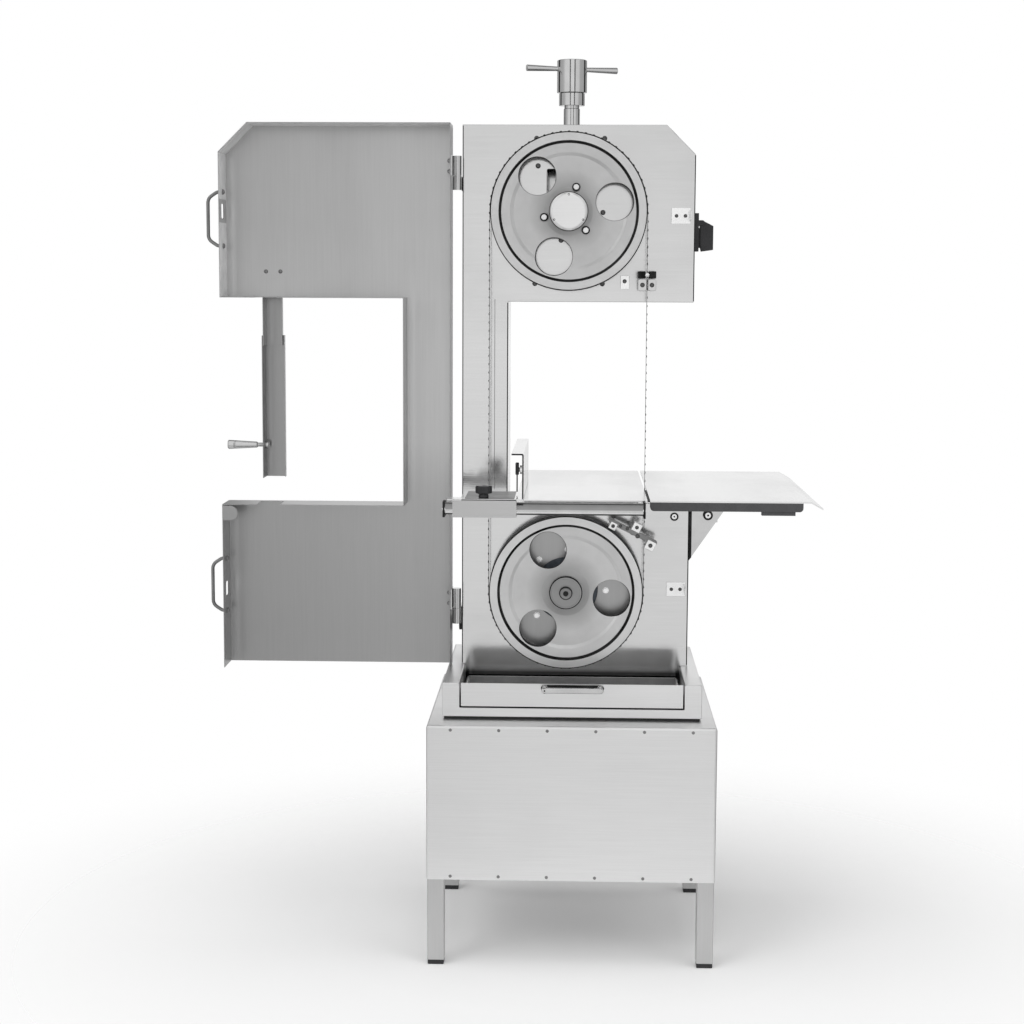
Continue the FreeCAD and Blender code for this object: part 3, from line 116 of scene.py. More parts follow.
def ramp(tree, fac, stops):
    made = tree.nodes.new("ShaderNodeValToRGB")
    elements = made.color_ramp.elements
    while len(elements) < len(stops):
        elements.new(0.5)
    for element, (pos, value) in zip(elements, stops):
        element.position = pos
        element.color = (*value, 1) if isinstance(value, tuple) else (value, value, value, 1)
    tree.links.new(fac, made.inputs["Fac"])
    return made.outputs["Color"]


def bump(tree, bsdf, height, strength, distance):
    inputs = {"Strength": strength, "Distance": distance, "Height": height}
    feed(tree, bsdf, {"Normal": node(tree, "Bump", inputs)["Normal"]})


def multiply(tree, first, second):
    inputs = {"Factor": 1.0, "A": first, "B": second}
    return node(tree, "Mix", inputs, data_type="RGBA", blend_type="MULTIPLY")["Result"]


def span(tree, value, low, high, **settings):
    """The value mapped to 0 at low and 1 at high."""
    return node(tree, "MapRange", {"From Min": low, "From Max": high, "Value": value}, **settings)["Result"]


def height_ramp(tree, low, high, stops):
    """A ramp over object height, its stops given from 0 at low to 1 at high."""
    height = node(tree, "SeparateXYZ", {0: object_point(tree)})["Z"]
    return ramp(tree, span(tree, height, low, high), stops)


def steel(name, grey, spread, rough, grain, fade=None):
    """Brushed stainless steel: fine grain stretched along one axis, soft smears and faint stains.

    fade = (low, high, stops) multiplies its tone by a ramp over height; on the front panel this is painted
    shade along its foot.
    """
    mat, tree, bsdf = new_material(name, 1.0)
    fine = noise(tree, grain, 420, 3)
    smear = noise(tree, tuple(0.2 + 0.8 * min(g, 1.0) for g in grain), 5, 4)
    cloud = noise(tree, (1, 1, 1), 2.2, 5, 0.6)
    mixed = node(tree, "Math", {0: cloud, 1: 0.9, 2: smear}, operation="MULTIPLY_ADD")[0]
    tone = ramp(tree, mixed, [(0.55, grey - spread), (0.9615, grey + spread)])
    tone = multiply(tree, tone, ramp(tree, fine, [(0.25, 0.95), (0.75, 1.0)]))
    if fade:
        tone = multiply(tree, tone, height_ramp(tree, *fade))
    roughness = ramp(tree, mixed, [(0.4, rough + 0.08), (1.0, rough - 0.05)])
    feed(tree, bsdf, {"Base Color": tone, "Roughness": roughness})
    bump(tree, bsdf, fine, 0.25, 0.00012)
    return mat


def polished(name, grey, rough, bands=None):
    """Polished or turned steel: near mirror, with faint scratches and fingermarks."""
    mat, tree, bsdf = new_material(name, 1.0)
    cloud = noise(tree, (1, 1, 1), 28, 5, 0.6)
    scratch = noise(tree, (1, 1, 9), 300, 3)
    tone = ramp(tree, cloud, [(0.3, max(grey - 0.05, 0.01)), (0.7, grey + 0.03)])
    # bands paint reflection and shade into the tone by height; the front rail uses them.
    if bands:
        tone = multiply(tree, tone, height_ramp(tree, *bands))
    roughness = ramp(tree, cloud, [(0.3, rough + 0.07), (0.75, rough)])
    feed(tree, bsdf, {"Base Color": tone, "Roughness": roughness})
    bump(tree, bsdf, scratch, 0.12, 0.0001)
    return mat


def turned(name, grey, centre_x, centre_z):
    """Lathe-turned cast wheel: concentric tool marks, and painted shade that darkens the tone towards its
    axis.
    """
    mat, tree, bsdf = new_material(name, 1.0)
    centre = (centre_x * MM, 0, centre_z * MM)
    shift = node(tree, "VectorMath", {0: object_point(tree), 1: centre}, operation="SUBTRACT")
    flat = node(tree, "VectorMath", {0: shift[0], 1: (1, 0, 1)}, operation="MULTIPLY")
    radius = node(tree, "VectorMath", {0: flat[0]}, operation="LENGTH")["Value"]
    marks = node(tree, "TexNoise", {"Scale": 900, "Detail": 3, "W": radius}, noise_dimensions="1D")["Fac"]
    cloud = noise(tree, (1, 1, 1), 18, 5, 0.6)
    tone = ramp(tree, cloud, [(0.3, grey - 0.06), (0.72, grey + 0.03)])
    # Painted shade: the tone darkens from the rim in towards the hub.
    axis_shade = ramp(tree, span(tree, radius, 0, 150 * MM), [
        (0.2, 0.44), (0.36, 0.64), (0.52, 0.84), (0.86, 0.90), (0.885, 1.0),
    ])
    roughness = ramp(tree, marks, [(0.3, 0.30), (0.7, 0.42)])
    feed(tree, bsdf, {"Base Color": multiply(tree, tone, axis_shade), "Roughness": roughness})
    bump(tree, bsdf, marks, 0.22, 0.0002)
    return mat


def plastic(name, colour, rough, grain=0.35):
    """Moulded plastic with a fine spark-eroded grain and slight handling shine."""
    mat, tree, bsdf = new_material(name)
    cloud = noise(tree, (1, 1, 1), 35, 4)
    dark = tuple(0.8 * c for c in colour)
    tone = ramp(tree, cloud, [(0.3, dark), (0.7, colour)])
    roughness = ramp(tree, cloud, [(0.3, rough + 0.08), (0.75, rough - 0.06)])
    feed(tree, bsdf, {"Base Color": tone, "Roughness": roughness})
    bump(tree, bsdf, noise(tree, (1, 1, 1), 1800, 2), grain, 0.0001)
    return mat


def hammered_paint(name, colour):
    mat, tree, bsdf = new_material(name)
    cells = noise(tree, (1, 1, 1), 160, 2)
    dark = tuple(0.75 * c for c in colour)
    feed(tree, bsdf, {"Base Color": ramp(tree, cells, [(0.35, dark), (0.65, colour)]), "Roughness": 0.38})
    bump(tree, bsdf, cells, 0.4, 0.0004)
    return mat


def wheel_centre(joint):
    x, _, z = JOINTS[joint]["pos_m"]
    return x / MM, z / MM


UP_X, UP_Z = wheel_centre("upper_wheel_spin")
LOW_X, LOW_Z = wheel_centre("lower_wheel_spin")
ACROSS, UPRIGHT, DEEP = (0.02, 1, 1), (1, 1, 0.02), (1, 0.02, 1)
# Front panel: painted shade in a near-black band along its foot above the plinth, and a little darker
# towards the top.
PANEL_FADE = (0.50, 1.58, [
    (0.0, 0.08), (0.012, 0.08), (0.0165, 0.4), (0.022, 0.92), (0.037, 1.0), (0.68, 1.0), (0.78, 0.94),
    (1.0, 0.89),
])
DOOR_FADE = (0.60, 1.65, [(0.0, 0.70), (0.22, 0.76), (0.35, 0.96), (0.62, 0.98), (0.75, 0.90), (1.0, 0.86)])
# Painted reflection on the rail tube: dark along its bottom, a bright band below the middle, and darker
# over its upper half.
RAIL_REFLECTION_BANDS = (0.857, 0.879, [
    (0.0, 0.05), (0.12, 0.08), (0.2, 0.95), (0.44, 0.9), (0.5, 0.4), (0.95, 0.28), (1.0, 0.1),
])

MATERIALS = {
    "stand_steel": steel("stand_steel", 0.82, 0.03, 0.36, ACROSS),
    "screw_steel": polished("screw_steel", 0.13, 0.22),
    "plinth_steel": steel("plinth_steel", 0.86, 0.03, 0.34, ACROSS),
    "panel_steel": steel("panel_steel", 0.68, 0.04, 0.16, ACROSS, PANEL_FADE),
    "door_steel": steel("door_steel", 0.60, 0.03, 0.34, UPRIGHT, DOOR_FADE),
    "bright_steel": polished("bright_steel", 0.62, 0.04),
    "wheel_metal": turned("wheel_metal", 0.72, UP_X, UP_Z),
    "blade_steel": polished("blade_steel", 0.22, 0.30),
    "table_steel": steel("table_steel", 0.82, 0.03, 0.22, DEEP),
    "motor_paint": hammered_paint("motor_paint", (0.16, 0.19, 0.23)),
    "black_plastic": plastic("black_plastic", (0.018, 0.018, 0.020), 0.42),
    "bar_plastic": plastic("bar_plastic", (0.075, 0.075, 0.078), 0.50),
    "green_button": plastic("green_button", (0.02, 0.28, 0.07), 0.30, 0.1),
    "red_button": plastic("red_button", (0.50, 0.02, 0.02), 0.30, 0.1),
}
LOWER_WHEEL_METAL = turned("wheel_metal_lower", 0.80, LOW_X, LOW_Z)
SHADOW_GROOVE = plastic("groove_dark", (0.02, 0.02, 0.02), 0.6)
EDGE_DARK = polished("edge_dark", 0.03, 0.45)
PLATE_STEEL = polished("plate_steel", 0.96, 0.22)
DULL_STEEL = polished("dull_steel", 0.28, 0.30)
SATIN_LINING = plastic("satin_lining", (0.90, 0.90, 0.90), 0.45, 0.1)
GUARD_STEEL = steel("guard_steel", 0.42, 0.02, 0.34, UPRIGHT)
LEG_STEEL = steel("leg_steel", 0.55, 0.03, 0.34, UPRIGHT)
CARRIAGE_STEEL = steel("carriage_steel", 0.56, 0.03, 0.30, ACROSS)
RAIL_STEEL = polished("rail_steel", 0.80, 0.14, RAIL_REFLECTION_BANDS)

OWN_METAL = {
    "lower_wheel": LOWER_WHEEL_METAL, "guard_channel": GUARD_STEEL, "guard_bracket": GUARD_STEEL,
    "fence_carriage": CARRIAGE_STEEL,
}


def dress_cad_nodes():
    """Gives every carried-over CAD node its material and a small rounded edge."""
    for name, obj in frame["nodes"].items():
        mat = OWN_METAL.get(name, MATERIALS[SLOT_OF[name]])
        if not obj.material_slots:
            obj.data.materials.append(mat)
        for slot in obj.material_slots:
            slot.material = mat
        soften(obj, 0.5)
        flatten_shading(obj)


# ------------------------------------------------------------------ mesh helpers





def soften(obj, width, segments=2, angle=35):
    """A rounded bevel on every edge sharper than angle."""
    bevel = obj.modifiers.new("edge", "BEVEL")
    bevel.width = width * MM
    bevel.segments = segments
    bevel.limit_method = "ANGLE"
    bevel.angle_limit = math.radians(angle)
    bevel.harden_normals = False


def smooth(obj, angle):
    """Smooth shading, but sharp at edges steeper than angle."""
    obj.data.polygons.foreach_set("use_smooth", [True] * len(obj.data.polygons))
    obj.data.set_sharp_from_angle(angle=math.radians(angle))


def link_mesh(name, bm):
    mesh = bpy.data.meshes.new(name)
    bm.to_mesh(mesh)
    bm.free()
    obj = bpy.data.objects.new(name, mesh)
    bpy.context.collection.objects.link(obj)
    return obj


def make_object(name, bm, smooth_angle=40):
    """An object from a mesh drawn in millimetres."""
    bmesh.ops.scale(bm, vec=(MM, MM, MM), verts=bm.verts)
    bmesh.ops.remove_doubles(bm, verts=bm.verts, dist=1e-6)
    bmesh.ops.recalc_face_normals(bm, faces=bm.faces)
    obj = link_mesh(name, bm)
    smooth(obj, smooth_angle)
    return obj


def flatten_shading(obj):
    """Big faces keep their own normals; only the small rounded edges blend."""
    normals = obj.modifiers.new("normals", "WEIGHTED_NORMAL")
    normals.keep_sharp = True
    normals.weight = 100


def piece(obj, body, slot, replaces=(), mat=None):
    """Gives a new piece its material, taken from its record slot unless mat is given, and the body it
    rides.
    """
    if not obj.data.materials:
        obj.data.materials.append(None)
    obj.data.materials[0] = mat or MATERIALS[slot]
    flatten_shading(obj)
    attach(obj, body)
    if replaces:
        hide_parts(*replaces)
    return obj


def bake_modifiers(obj):
    """Applies the object's modifiers to its mesh."""
    graph = bpy.context.evaluated_depsgraph_get()
    mesh = bpy.data.meshes.new_from_object(obj.evaluated_get(graph))
    obj.modifiers.clear()
    obj.data = mesh
    return obj


def cut_with(obj, cutters, wall=None):
    """Takes closed cutter objects out of obj and deletes them; the cut walls take material wall."""
    if wall:
        obj.data.materials.clear()
        obj.data.materials.append(None)
    for cutter in cutters:
        mod = obj.modifiers.new("cut", "BOOLEAN")
        mod.operation = "DIFFERENCE"
        mod.solver = "EXACT"
        mod.object = cutter
        if wall:
            mod.material_mode = "TRANSFER"
            cutter.data.materials.append(wall)
        bake_modifiers(obj)
        bpy.data.objects.remove(cutter)
    return obj


def join(name, objects):
    """One object from several, with their modifiers applied."""
    bm = bmesh.new()
    for obj in objects:
        bake_modifiers(obj)
        bm.from_mesh(obj.data)
        bpy.data.objects.remove(obj)
    return link_mesh(name, bm)


def axis_frame(axis):
    """Two unit vectors square to axis."""
    axis = Vector(axis).normalized()
    helper = Z if abs(axis.z) < 0.9 else X
    u = axis.cross(helper).normalized()
    return axis, u, axis.cross(u)


def skin(bm, rings):
    """Quads between each ring of vertices and the next; all rings have the same count."""
    for low, high in zip(rings, rings[1:]):
        for i in range(len(low)):
            j = (i + 1) % len(low)
            bm.faces.new((low[i], high[i], high[j], low[j]))


def cap_ends(bm, rings):
    """Closes the first and the last ring with one face each."""
    bm.faces.new(rings[0])
    bm.faces.new(list(reversed(rings[-1])))


def lathe(name, profile, origin, axis, steps=64, smooth_angle=40):
    """Turns a profile of (radius, distance along axis) points round the axis."""
    axis, u, v = axis_frame(axis)
    origin = Vector(origin)
    bm = bmesh.new()
    rings = []
    for r, t in profile:
        if r < 1e-7:
            rings.append([bm.verts.new(origin + axis * t)])
            continue
        ring = []
        for i in range(steps):
            a = 2 * math.pi * i / steps
            ring.append(bm.verts.new(origin + axis * t + (u * math.cos(a) + v * math.sin(a)) * r))
        rings.append(ring)
    for low, high in zip(rings, rings[1:]):
        for i in range(steps):
            j = (i + 1) % steps
            if len(low) == 1 and len(high) == 1:
                continue
            if len(low) == 1:
                bm.faces.new((low[0], high[i], high[j]))
            elif len(high) == 1:
                bm.faces.new((low[i], high[0], low[j]))
            else:
                bm.faces.new((low[i], high[i], high[j], low[j]))
    return make_object(name, bm, smooth_angle)


def rounded(profile, radius, steps=3):
    """The profile with each inner corner turned into a small arc."""
    out = [profile[0]]
    for before, at, after in zip(profile, profile[1:], profile[2:]):
        p, a, b = Vector(at), Vector(before), Vector(after)
        la, lb = (a - p).length, (b - p).length
        if at[0] < 1e-7 or la < 1e-7 or lb < 1e-7:
            out.append(at)
            continue
        d = min(radius, la * 0.45, lb * 0.45)
        start, end = p + (a - p) / la * d, p + (b - p) / lb * d
        for k in range(steps + 1):
            s = k / steps
            point = start * (1 - s) ** 2 + p * 2 * s * (1 - s) + end * s ** 2
            out.append((point.x, point.y))
    out.append(profile[-1])
    return out


def prism(name, loop, origin, u, v, depth, edge=0.4, smooth_angle=35):
    """A slab: loop of (a, b) points on the u, v plane, thickened along depth, with soft edges."""
    origin, u, v, depth = Vector(origin), Vector(u), Vector(v), Vector(depth)
    bm = bmesh.new()
    low = [bm.verts.new(origin + u * a + v * b) for a, b in loop]
    high = [bm.verts.new(origin + u * a + v * b + depth) for a, b in loop]
    bm.faces.new(low)
    bm.faces.new(list(reversed(high)))
    for i in range(len(loop)):
        j = (i + 1) % len(loop)
        bm.faces.new((low[i], high[i], high[j], low[j]))
    obj = make_object(name, bm, smooth_angle)
    if edge:
        soften(obj, edge)
    return obj


def slab(name, loop, y, thick, edge=0):
    """A plate square to Y from a loop of (x, z) points."""
    return prism(name, loop, Y * y, X, Z, Y * thick, edge)


def shelf(name, loop, z, thick, edge=0):
    """A plate square to Z from a loop of (x, y) points."""
    return prism(name, loop, Z * z, X, Y, Z * thick, edge)


def side_slab(name, loop, x, thick, edge=0):
    """A plate square to X from a loop of (y, z) points."""
    return prism(name, loop, X * x, Y, Z, X * thick, edge)


def corners(x0, x1, z0, z1):
    return [(x0, z0), (x1, z0), (x1, z1), (x0, z1)]


def polar(x, z, r, degrees):
    """The point at a distance and an angle from (x, z)."""
    a = math.radians(degrees)
    return x + r * math.cos(a), z + r * math.sin(a)


def arc(cx, cy, r, start, end, steps):
    """Points of an arc between two angles in degrees."""
    points = []
    for i in range(steps + 1):
        a = math.radians(start + (end - start) * i / steps)
        points.append((cx + r * math.cos(a), cy + r * math.sin(a)))
    return points


def bent_path(points, radius, steps=6):
    """A polyline with each corner rounded to about the given radius."""
    points = [Vector(p) for p in points]
    out = [points[0]]
    for before, at, after in zip(points, points[1:], points[2:]):
        a, b = (before - at), (after - at)
        d = min(radius, a.length * 0.48, b.length * 0.48)
        start, end = at + a.normalized() * d, at + b.normalized() * d
        for k in range(steps + 1):
            s = k / steps
            out.append(start * (1 - s) ** 2 + at * 2 * s * (1 - s) + end * s ** 2)
    out.append(points[-1])
    return out


def rod(name, points, radius, bend=0, steps=20):
    """A round bar along a path, closed flat at both ends."""
    path = bent_path(points, bend) if bend else [Vector(p) for p in points]
    bm = bmesh.new()
    rings = []
    side = None
    for i, p in enumerate(path):
        ahead = path[min(i + 1, len(path) - 1)] - path[max(i - 1, 0)]
        t = ahead.normalized()
        if side is None:
            _, side, _ = axis_frame(t)
        side = (side - t * side.dot(t)).normalized()
        up = t.cross(side)
        ring = []
        for k in range(steps):
            a = 2 * math.pi * k / steps
            ring.append(bm.verts.new(p + (side * math.cos(a) + up * math.sin(a)) * radius))
        rings.append(ring)
    skin(bm, rings)
    cap_ends(bm, rings)
    return make_object(name, bm)


def hexagon(r, turn=0):
    return [
        (r * math.cos(math.radians(60 * i + turn)), r * math.sin(math.radians(60 * i + turn)))
        for i in range(6)
    ]


def socket_screw(name, origin, axis, r, height):
    """A button head with a hexagonal socket, on a thin washer."""
    dome = [
        (0, 0), (r, 0), (r, 0.3 * height), (0.86 * r, 0.72 * height), (0.6 * r, height),
        (0.42 * r, height), (0.40 * r, 0.35 * height), (0, 0.35 * height),
    ]
    return lathe(name, dome, origin, axis, 24, 30)


def hex_head(name, origin, axis, r, height):
    """A hexagon head on a round washer face."""
    axis, u, v = axis_frame(axis)
    head = prism(name + "_hex", hexagon(r, 15), Vector(origin) + axis * 0.18 * height, u, v,
                 axis * 0.82 * height, 0.06 * r)
    washer = lathe(name + "_washer", [(0, 0), (1.12 * r, 0), (1.12 * r, 0.18 * height), (0, 0.18 * height)],
                   origin, axis, 24)
    return join(name, [head, washer])


def dome_nut(name, origin, axis, r, height):
    """A cap nut: hexagon base with a domed top."""
    axis, u, v = axis_frame(axis)
    base = prism(name + "_hex", hexagon(r, 10), origin, u, v, axis * 0.5 * height, 0.06 * r)
    dome = [(0.82 * r, 0.45 * height)]
    dome += [(0.82 * r * math.cos(a), 0.5 * height + 0.5 * height * math.sin(a))
             for a in (0.0, 0.4, 0.8, 1.2)]
    dome += [(0, height)]
    cap = lathe(name + "_dome", [(0, 0.45 * height)] + dome, origin, axis, 24)
    return join(name, [base, cap])


# ------------------------------------------------------------------ folded sheet


def sheet_faces(name, polygons, thickness, fold):
    """A folded sheet from flat outlines that share edges, given thickness and rounded folds."""
    bm = bmesh.new()
    for points in polygons:
        bm.faces.new([bm.verts.new(p) for p in points])
    obj = make_object(name, bm)
    solid = obj.modifiers.new("sheet", "SOLIDIFY")
    solid.thickness = thickness * MM
    solid.offset = -1.0
    solid.use_even_offset = True
    soften(obj, fold, 3, 30)
    bake_modifiers(obj)
    smooth(obj, 35)
    return obj


def rect_loop(x0, x1, z0, z1, r, steps=5):
    """A rounded rectangle of (x, z) points."""
    return (
        arc(x1 - r, z0 + r, r, -90, 0, steps) + arc(x1 - r, z1 - r, r, 0, 90, steps)
        + arc(x0 + r, z1 - r, r, 90, 180, steps) + arc(x0 + r, z0 + r, r, 180, 270, steps)
    )


def flat_plate(name, outline, holes, y0, y1, edge):
    """A plate in the X-Z plane with round or shaped holes, and rounded rims."""
    curve = bpy.data.curves.new(name, "CURVE")
    curve.dimensions = "2D"
    curve.fill_mode = "BOTH"
    for loop in [outline] + holes:
        spline = curve.splines.new("POLY")
        spline.points.add(len(loop) - 1)
        for point, (x, z) in zip(spline.points, loop):
            point.co = (x, z, 0, 1)
        spline.use_cyclic_u = True
    curve.extrude = (y1 - y0) / 2 - edge
    curve.bevel_depth = edge
    curve.bevel_resolution = 2
    curve.offset = -edge
    obj = bpy.data.objects.new(name + "_curve", curve)
    bpy.context.collection.objects.link(obj)
    graph = bpy.context.evaluated_depsgraph_get()
    mesh = bpy.data.meshes.new_from_object(obj.evaluated_get(graph))
    bpy.data.objects.remove(obj)
    mid = (y0 + y1) / 2
    bm = bmesh.new()
    bm.from_mesh(mesh)
    for v in bm.verts:
        v.co = Vector((v.co.x, mid - v.co.z, v.co.y))
    return make_object(name, bm, 35)


# ------------------------------------------------------------------ housing


def chamfered(lo, hi):
    """The upper housing's outline, with its top right corner cut off."""
    return [
        (lo.x, lo.z), (hi.x, lo.z), (hi.x, hi.z - CHAMFER), (hi.x - CHAMFER, hi.z), (lo.x, hi.z),
    ]


def front_panel():
    """The C-shaped front sheet in one piece, with the wheel slots and the window."""
    top_lo, top_hi = box("panel_upper")
    column = box("panel_column")[1].x
    low_lo, low_hi = box("panel_lower")
    skirt_lo, skirt_hi = box("plinth_base")
    skirt_top = box("shell_lower")[0].z
    outline = [
        (skirt_lo.x, low_lo.z), (skirt_hi.x, low_lo.z), (skirt_hi.x, skirt_top),
        (low_hi.x, skirt_top), (low_hi.x, low_hi.z), (column, low_hi.z), (column, top_lo.z),
    ]
    outline += chamfered(top_lo, top_hi)[1:] + [(top_lo.x, skirt_top), (skirt_lo.x, skirt_top)]
    slot = rect_loop(UP_X - 17.5, UP_X + 17.5, UP_Z - 40, UP_Z + 30, 17)
    window = rect_loop(UP_X - 42, UP_X - 26, UP_Z + 36, UP_Z + 82, 3)
    motor_hole = arc(LOW_X, LOW_Z, 62, 0, 360, 48)[:-1]
    panel = flat_plate("front_panel", outline, [slot, window, motor_hole], 0, 3, 1.1)
    piece(panel, "frame", "panel_steel", ("panel_upper", "panel_column", "panel_lower"))
    fold_x = -155
    groove = prism("panel_fold_line", corners(-0.6, 0.6, 0, 0.3), (fold_x, 0.1, low_hi.z + 25), X, -Y,
                   Z * (top_lo.z - low_hi.z - 20), 0)
    piece(groove, "frame", "panel_steel", mat=DULL_STEEL)
    # Painted shade: near-black strips along the panel's outer vertical edges, where the sheet turns away.
    width = 2.2
    spans = (
        (top_lo.x, skirt_top, top_hi.z), (column - width, low_hi.z, top_lo.z),
        (low_hi.x - width, skirt_top, low_hi.z), (top_hi.x - width / 2, top_lo.z, top_hi.z - CHAMFER),
    )
    edges = [
        slab("edge_shade_strip", corners(x, x + width * 0.9, z0 + 2, z1 - 2), -0.15, 1, 0.3)
        for x, z0, z1 in spans
    ]
    piece(join("panel_edge_shade", edges), "frame", "panel_steel", mat=EDGE_DARK)


def vent_cover():
    """Rear covers: plain upper plate, lower plate with pressed louvres over the motor."""
    lo, hi = box("shell_upper")
    upper = flat_plate("rear_upper", chamfered(lo, hi), [], hi.y, hi.y + 2, 0.6)
    lo, hi = box("shell_lower")
    slots = [rect_loop(-90, 65, 640 + 16 * i, 645 + 16 * i, 2.4) for i in range(6)]
    lower = flat_plate("rear_lower", corners(lo.x, hi.x, lo.z, hi.z), slots, hi.y, hi.y + 2, 0.6)
    piece(join("rear_cover_plates", [upper, lower]), "frame", "panel_steel", ("rear_covers",))


# ------------------------------------------------------------------ door


def door_sheet():
    """The door as one folded C-shaped tray with its notches and latch slots."""
    up_lo, up_hi = box("door_upper")
    inner = box("door_strip")[0].x
    lw_lo, lw_hi = box("door_lower")
    left, right, front, back = up_lo.x, up_hi.x, up_lo.y, up_hi.y
    top, bottom, mid_up, mid_low = up_hi.z, lw_lo.z, up_lo.z, lw_hi.z
    low_corner, high_corner = (left, top - CHAMFER), (left + CHAMFER, top)
    outline = [
        (left, bottom), (right, bottom), (right, top), high_corner, low_corner,
        (left, mid_up), (inner, mid_up), (inner, mid_low), (left, mid_low),
    ]
    notch_left, notch_right, notch_depth = -612, -566, 62

    def notched(z):
        notch = front + notch_depth
        return [
            (left, back, z), (left, front, z), (notch_left, front, z), (notch_left, notch, z),
            (notch_right, notch, z), (notch_right, front, z), (inner, front, z), (inner, back, z),
        ]

    def wall(a, b):
        (xa, za), (xb, zb) = a, b
        return [(xa, back, za), (xa, front, za), (xb, front, zb), (xb, back, zb)]

    polygons = [
        [(x, back, z) for x, z in outline], wall((right, bottom), (right, top)),
        wall((right, top), high_corner), wall(high_corner, low_corner), wall(low_corner, (left, mid_up)),
        notched(mid_up), wall((inner, mid_up), (inner, mid_low)), notched(mid_low),
        wall((left, mid_low), (left, bottom)),
    ]
    tray = sheet_faces("door_tray", polygons, SHEET, FOLD)
    cut_with(tray, [
        side_slab("cutter", rect_loop(-50, -24, z0, z1, 4), left - 5, 12)
        for z0, z1 in ((1396, 1424), (667, 695))
    ])
    piece(tray, "door", "door_steel", ("door_upper", "door_strip", "door_lower"))


def door_trim():
    """Pale seal strips inside the upper flanges of the door."""
    lo, hi = box("door_upper")
    thick, r = 0.25, 0.6
    y0, y1 = lo.y + 1, hi.y - 2
    strips = [shelf("top", rect_loop(lo.x + CHAMFER, hi.x - 3, y0, y1, r), hi.z - SHEET, -thick)]
    for z0, z1 in ((lo.z + 3, 1388), (1432, hi.z - CHAMFER - 1)):
        strips.append(side_slab("left", rect_loop(y0, y1, z0, z1, r), lo.x + SHEET, thick))
    slope, inward = (X + Z).normalized(), (X - Z).normalized()
    corner = Vector((lo.x, 0, hi.z - CHAMFER)) + inward * SHEET
    ramp_loop = rect_loop(1, CHAMFER * math.sqrt(2) - 1, y0, y1, r)
    strips.append(prism("slope", ramp_loop, corner, slope, Y, inward * thick, 0))
    piece(join("door_seal_strips", strips), "door", "door_steel", mat=SATIN_LINING)


def door_pulls():
    """Two bent-wire pulls that stand off the door's edge."""
    lo, hi = box("door_handles")
    y = (lo.y + hi.y) / 2
    wire_r, bend, leg, slant = 3.3, 9, 8, 12
    out = lo.x + 4
    for i, (z0, z1) in enumerate(((1344, 1446), (637, 740))):
        path = [
            (hi.x, y, z0), (hi.x - leg, y, z0), (out, y, z0 + slant), (out, y, z1 - slant),
            (hi.x - leg, y, z1), (hi.x, y, z1),
        ]
        wire = rod(f"door_pull_{i}", path, wire_r, bend)
        piece(wire, "door", "bright_steel", ("door_handles",), DULL_STEEL)


def hinge_nuts():
    """Cap nuts of the hinge leaves, the pulls' nuts, and the guard bracket's screws."""
    x = box("door_strip")[1].x - SHEET
    nuts = [dome_nut("cap_nut", (x, -38, z), -X, 5, 7) for z in (1486, 1506, 655, 676)]
    x = box("door_upper")[0].x + SHEET
    nuts += [dome_nut("pull_nut", (x, -40, z), X, 5.5, 5) for z in (1344, 1446, 637, 740)]
    nuts += [socket_screw("bracket_screw", (x, -SHEET, 1296), -Y, 4, 2.5) for x in (-599, -571)]
    piece(join("door_cap_nuts", nuts), "door", "screw_steel", ("door_nuts",), DULL_STEEL)


# ------------------------------------------------------------------ wheels and blade


def wheel(name, body, centre, first_hole, mat):
    """Turned wheel: flat rim face, deep step to a dished web, and three rounded holes."""
    x, z = centre
    lo, hi = box(body)
    wide = hi.y - lo.y
    rim, inner, step, flange = 148.6, 132.5, 109, (hi.x - lo.x) / 2 - 2.4
    shape = [
        (26, 6), (34, 6.4), (46, 8.6), (step - 4, 8.9), (step + 2, 7), (inner - 3, 6.2), (inner - 0.2, 6.2),
        (inner, 0.4), (inner + 0.5, 0), (rim - 0.8, 0), (rim, 0.8), (rim, wide - 3), (flange, wide - 2.6),
        (flange, wide - 0.6), (flange - 0.6, wide), (inner, wide), (inner - 2, 18), (44, 17), (42, wide),
        (26, wide), (26, 6),
    ]
    turned_wheel = lathe(name, rounded(shape, 0.8), (x, lo.y, z), Y, 160, 24)
    bore = [(0, 0), (38.4, 0), (35.4, 12), (35.4, 50), (0, 50)]
    cutters = []
    for i in range(3):
        cx, cz = polar(x, z, 89, first_hole + HOLE_STEP * i)
        cutters.append(lathe("hole", bore, (cx, lo.y, cz), Y, 64))
    # The holes' cut walls take near-black steel: painted shade inside the holes.
    cut_with(turned_wheel, cutters, EDGE_DARK)
    smooth(turned_wheel, 24)
    piece(turned_wheel, body, "wheel_metal", (body,), mat)
    # Near-black rings: painted shade on the inner wall of the rim's step and along the rim's outer edge.
    rim_step_shade = [
        (inner - 4.4, 6), (inner - 0.4, 5.8), (inner + 0.6, -0.1), (inner - 1.6, 0.8), (inner - 4.4, 5.4),
        (inner - 4.4, 6),
    ]
    edge = [
        (rim - 1.2, 0.4), (rim - 1.2, -0.12), (rim - 0.5, -0.05), (rim + 0.3, 0.9), (rim + 0.6, 1.6),
        (flange + 0.1, wide - 3), (rim - 0.1, wide - 3), (rim - 0.1, 0.9), (rim - 1.2, 0.4),
    ]
    shadows = [lathe(name + "_ring", ring, (x, lo.y, z), Y, 160) for ring in (rim_step_shade, edge)]
    piece(join(name + "_dark_rings", shadows), body, "wheel_metal", mat=EDGE_DARK)


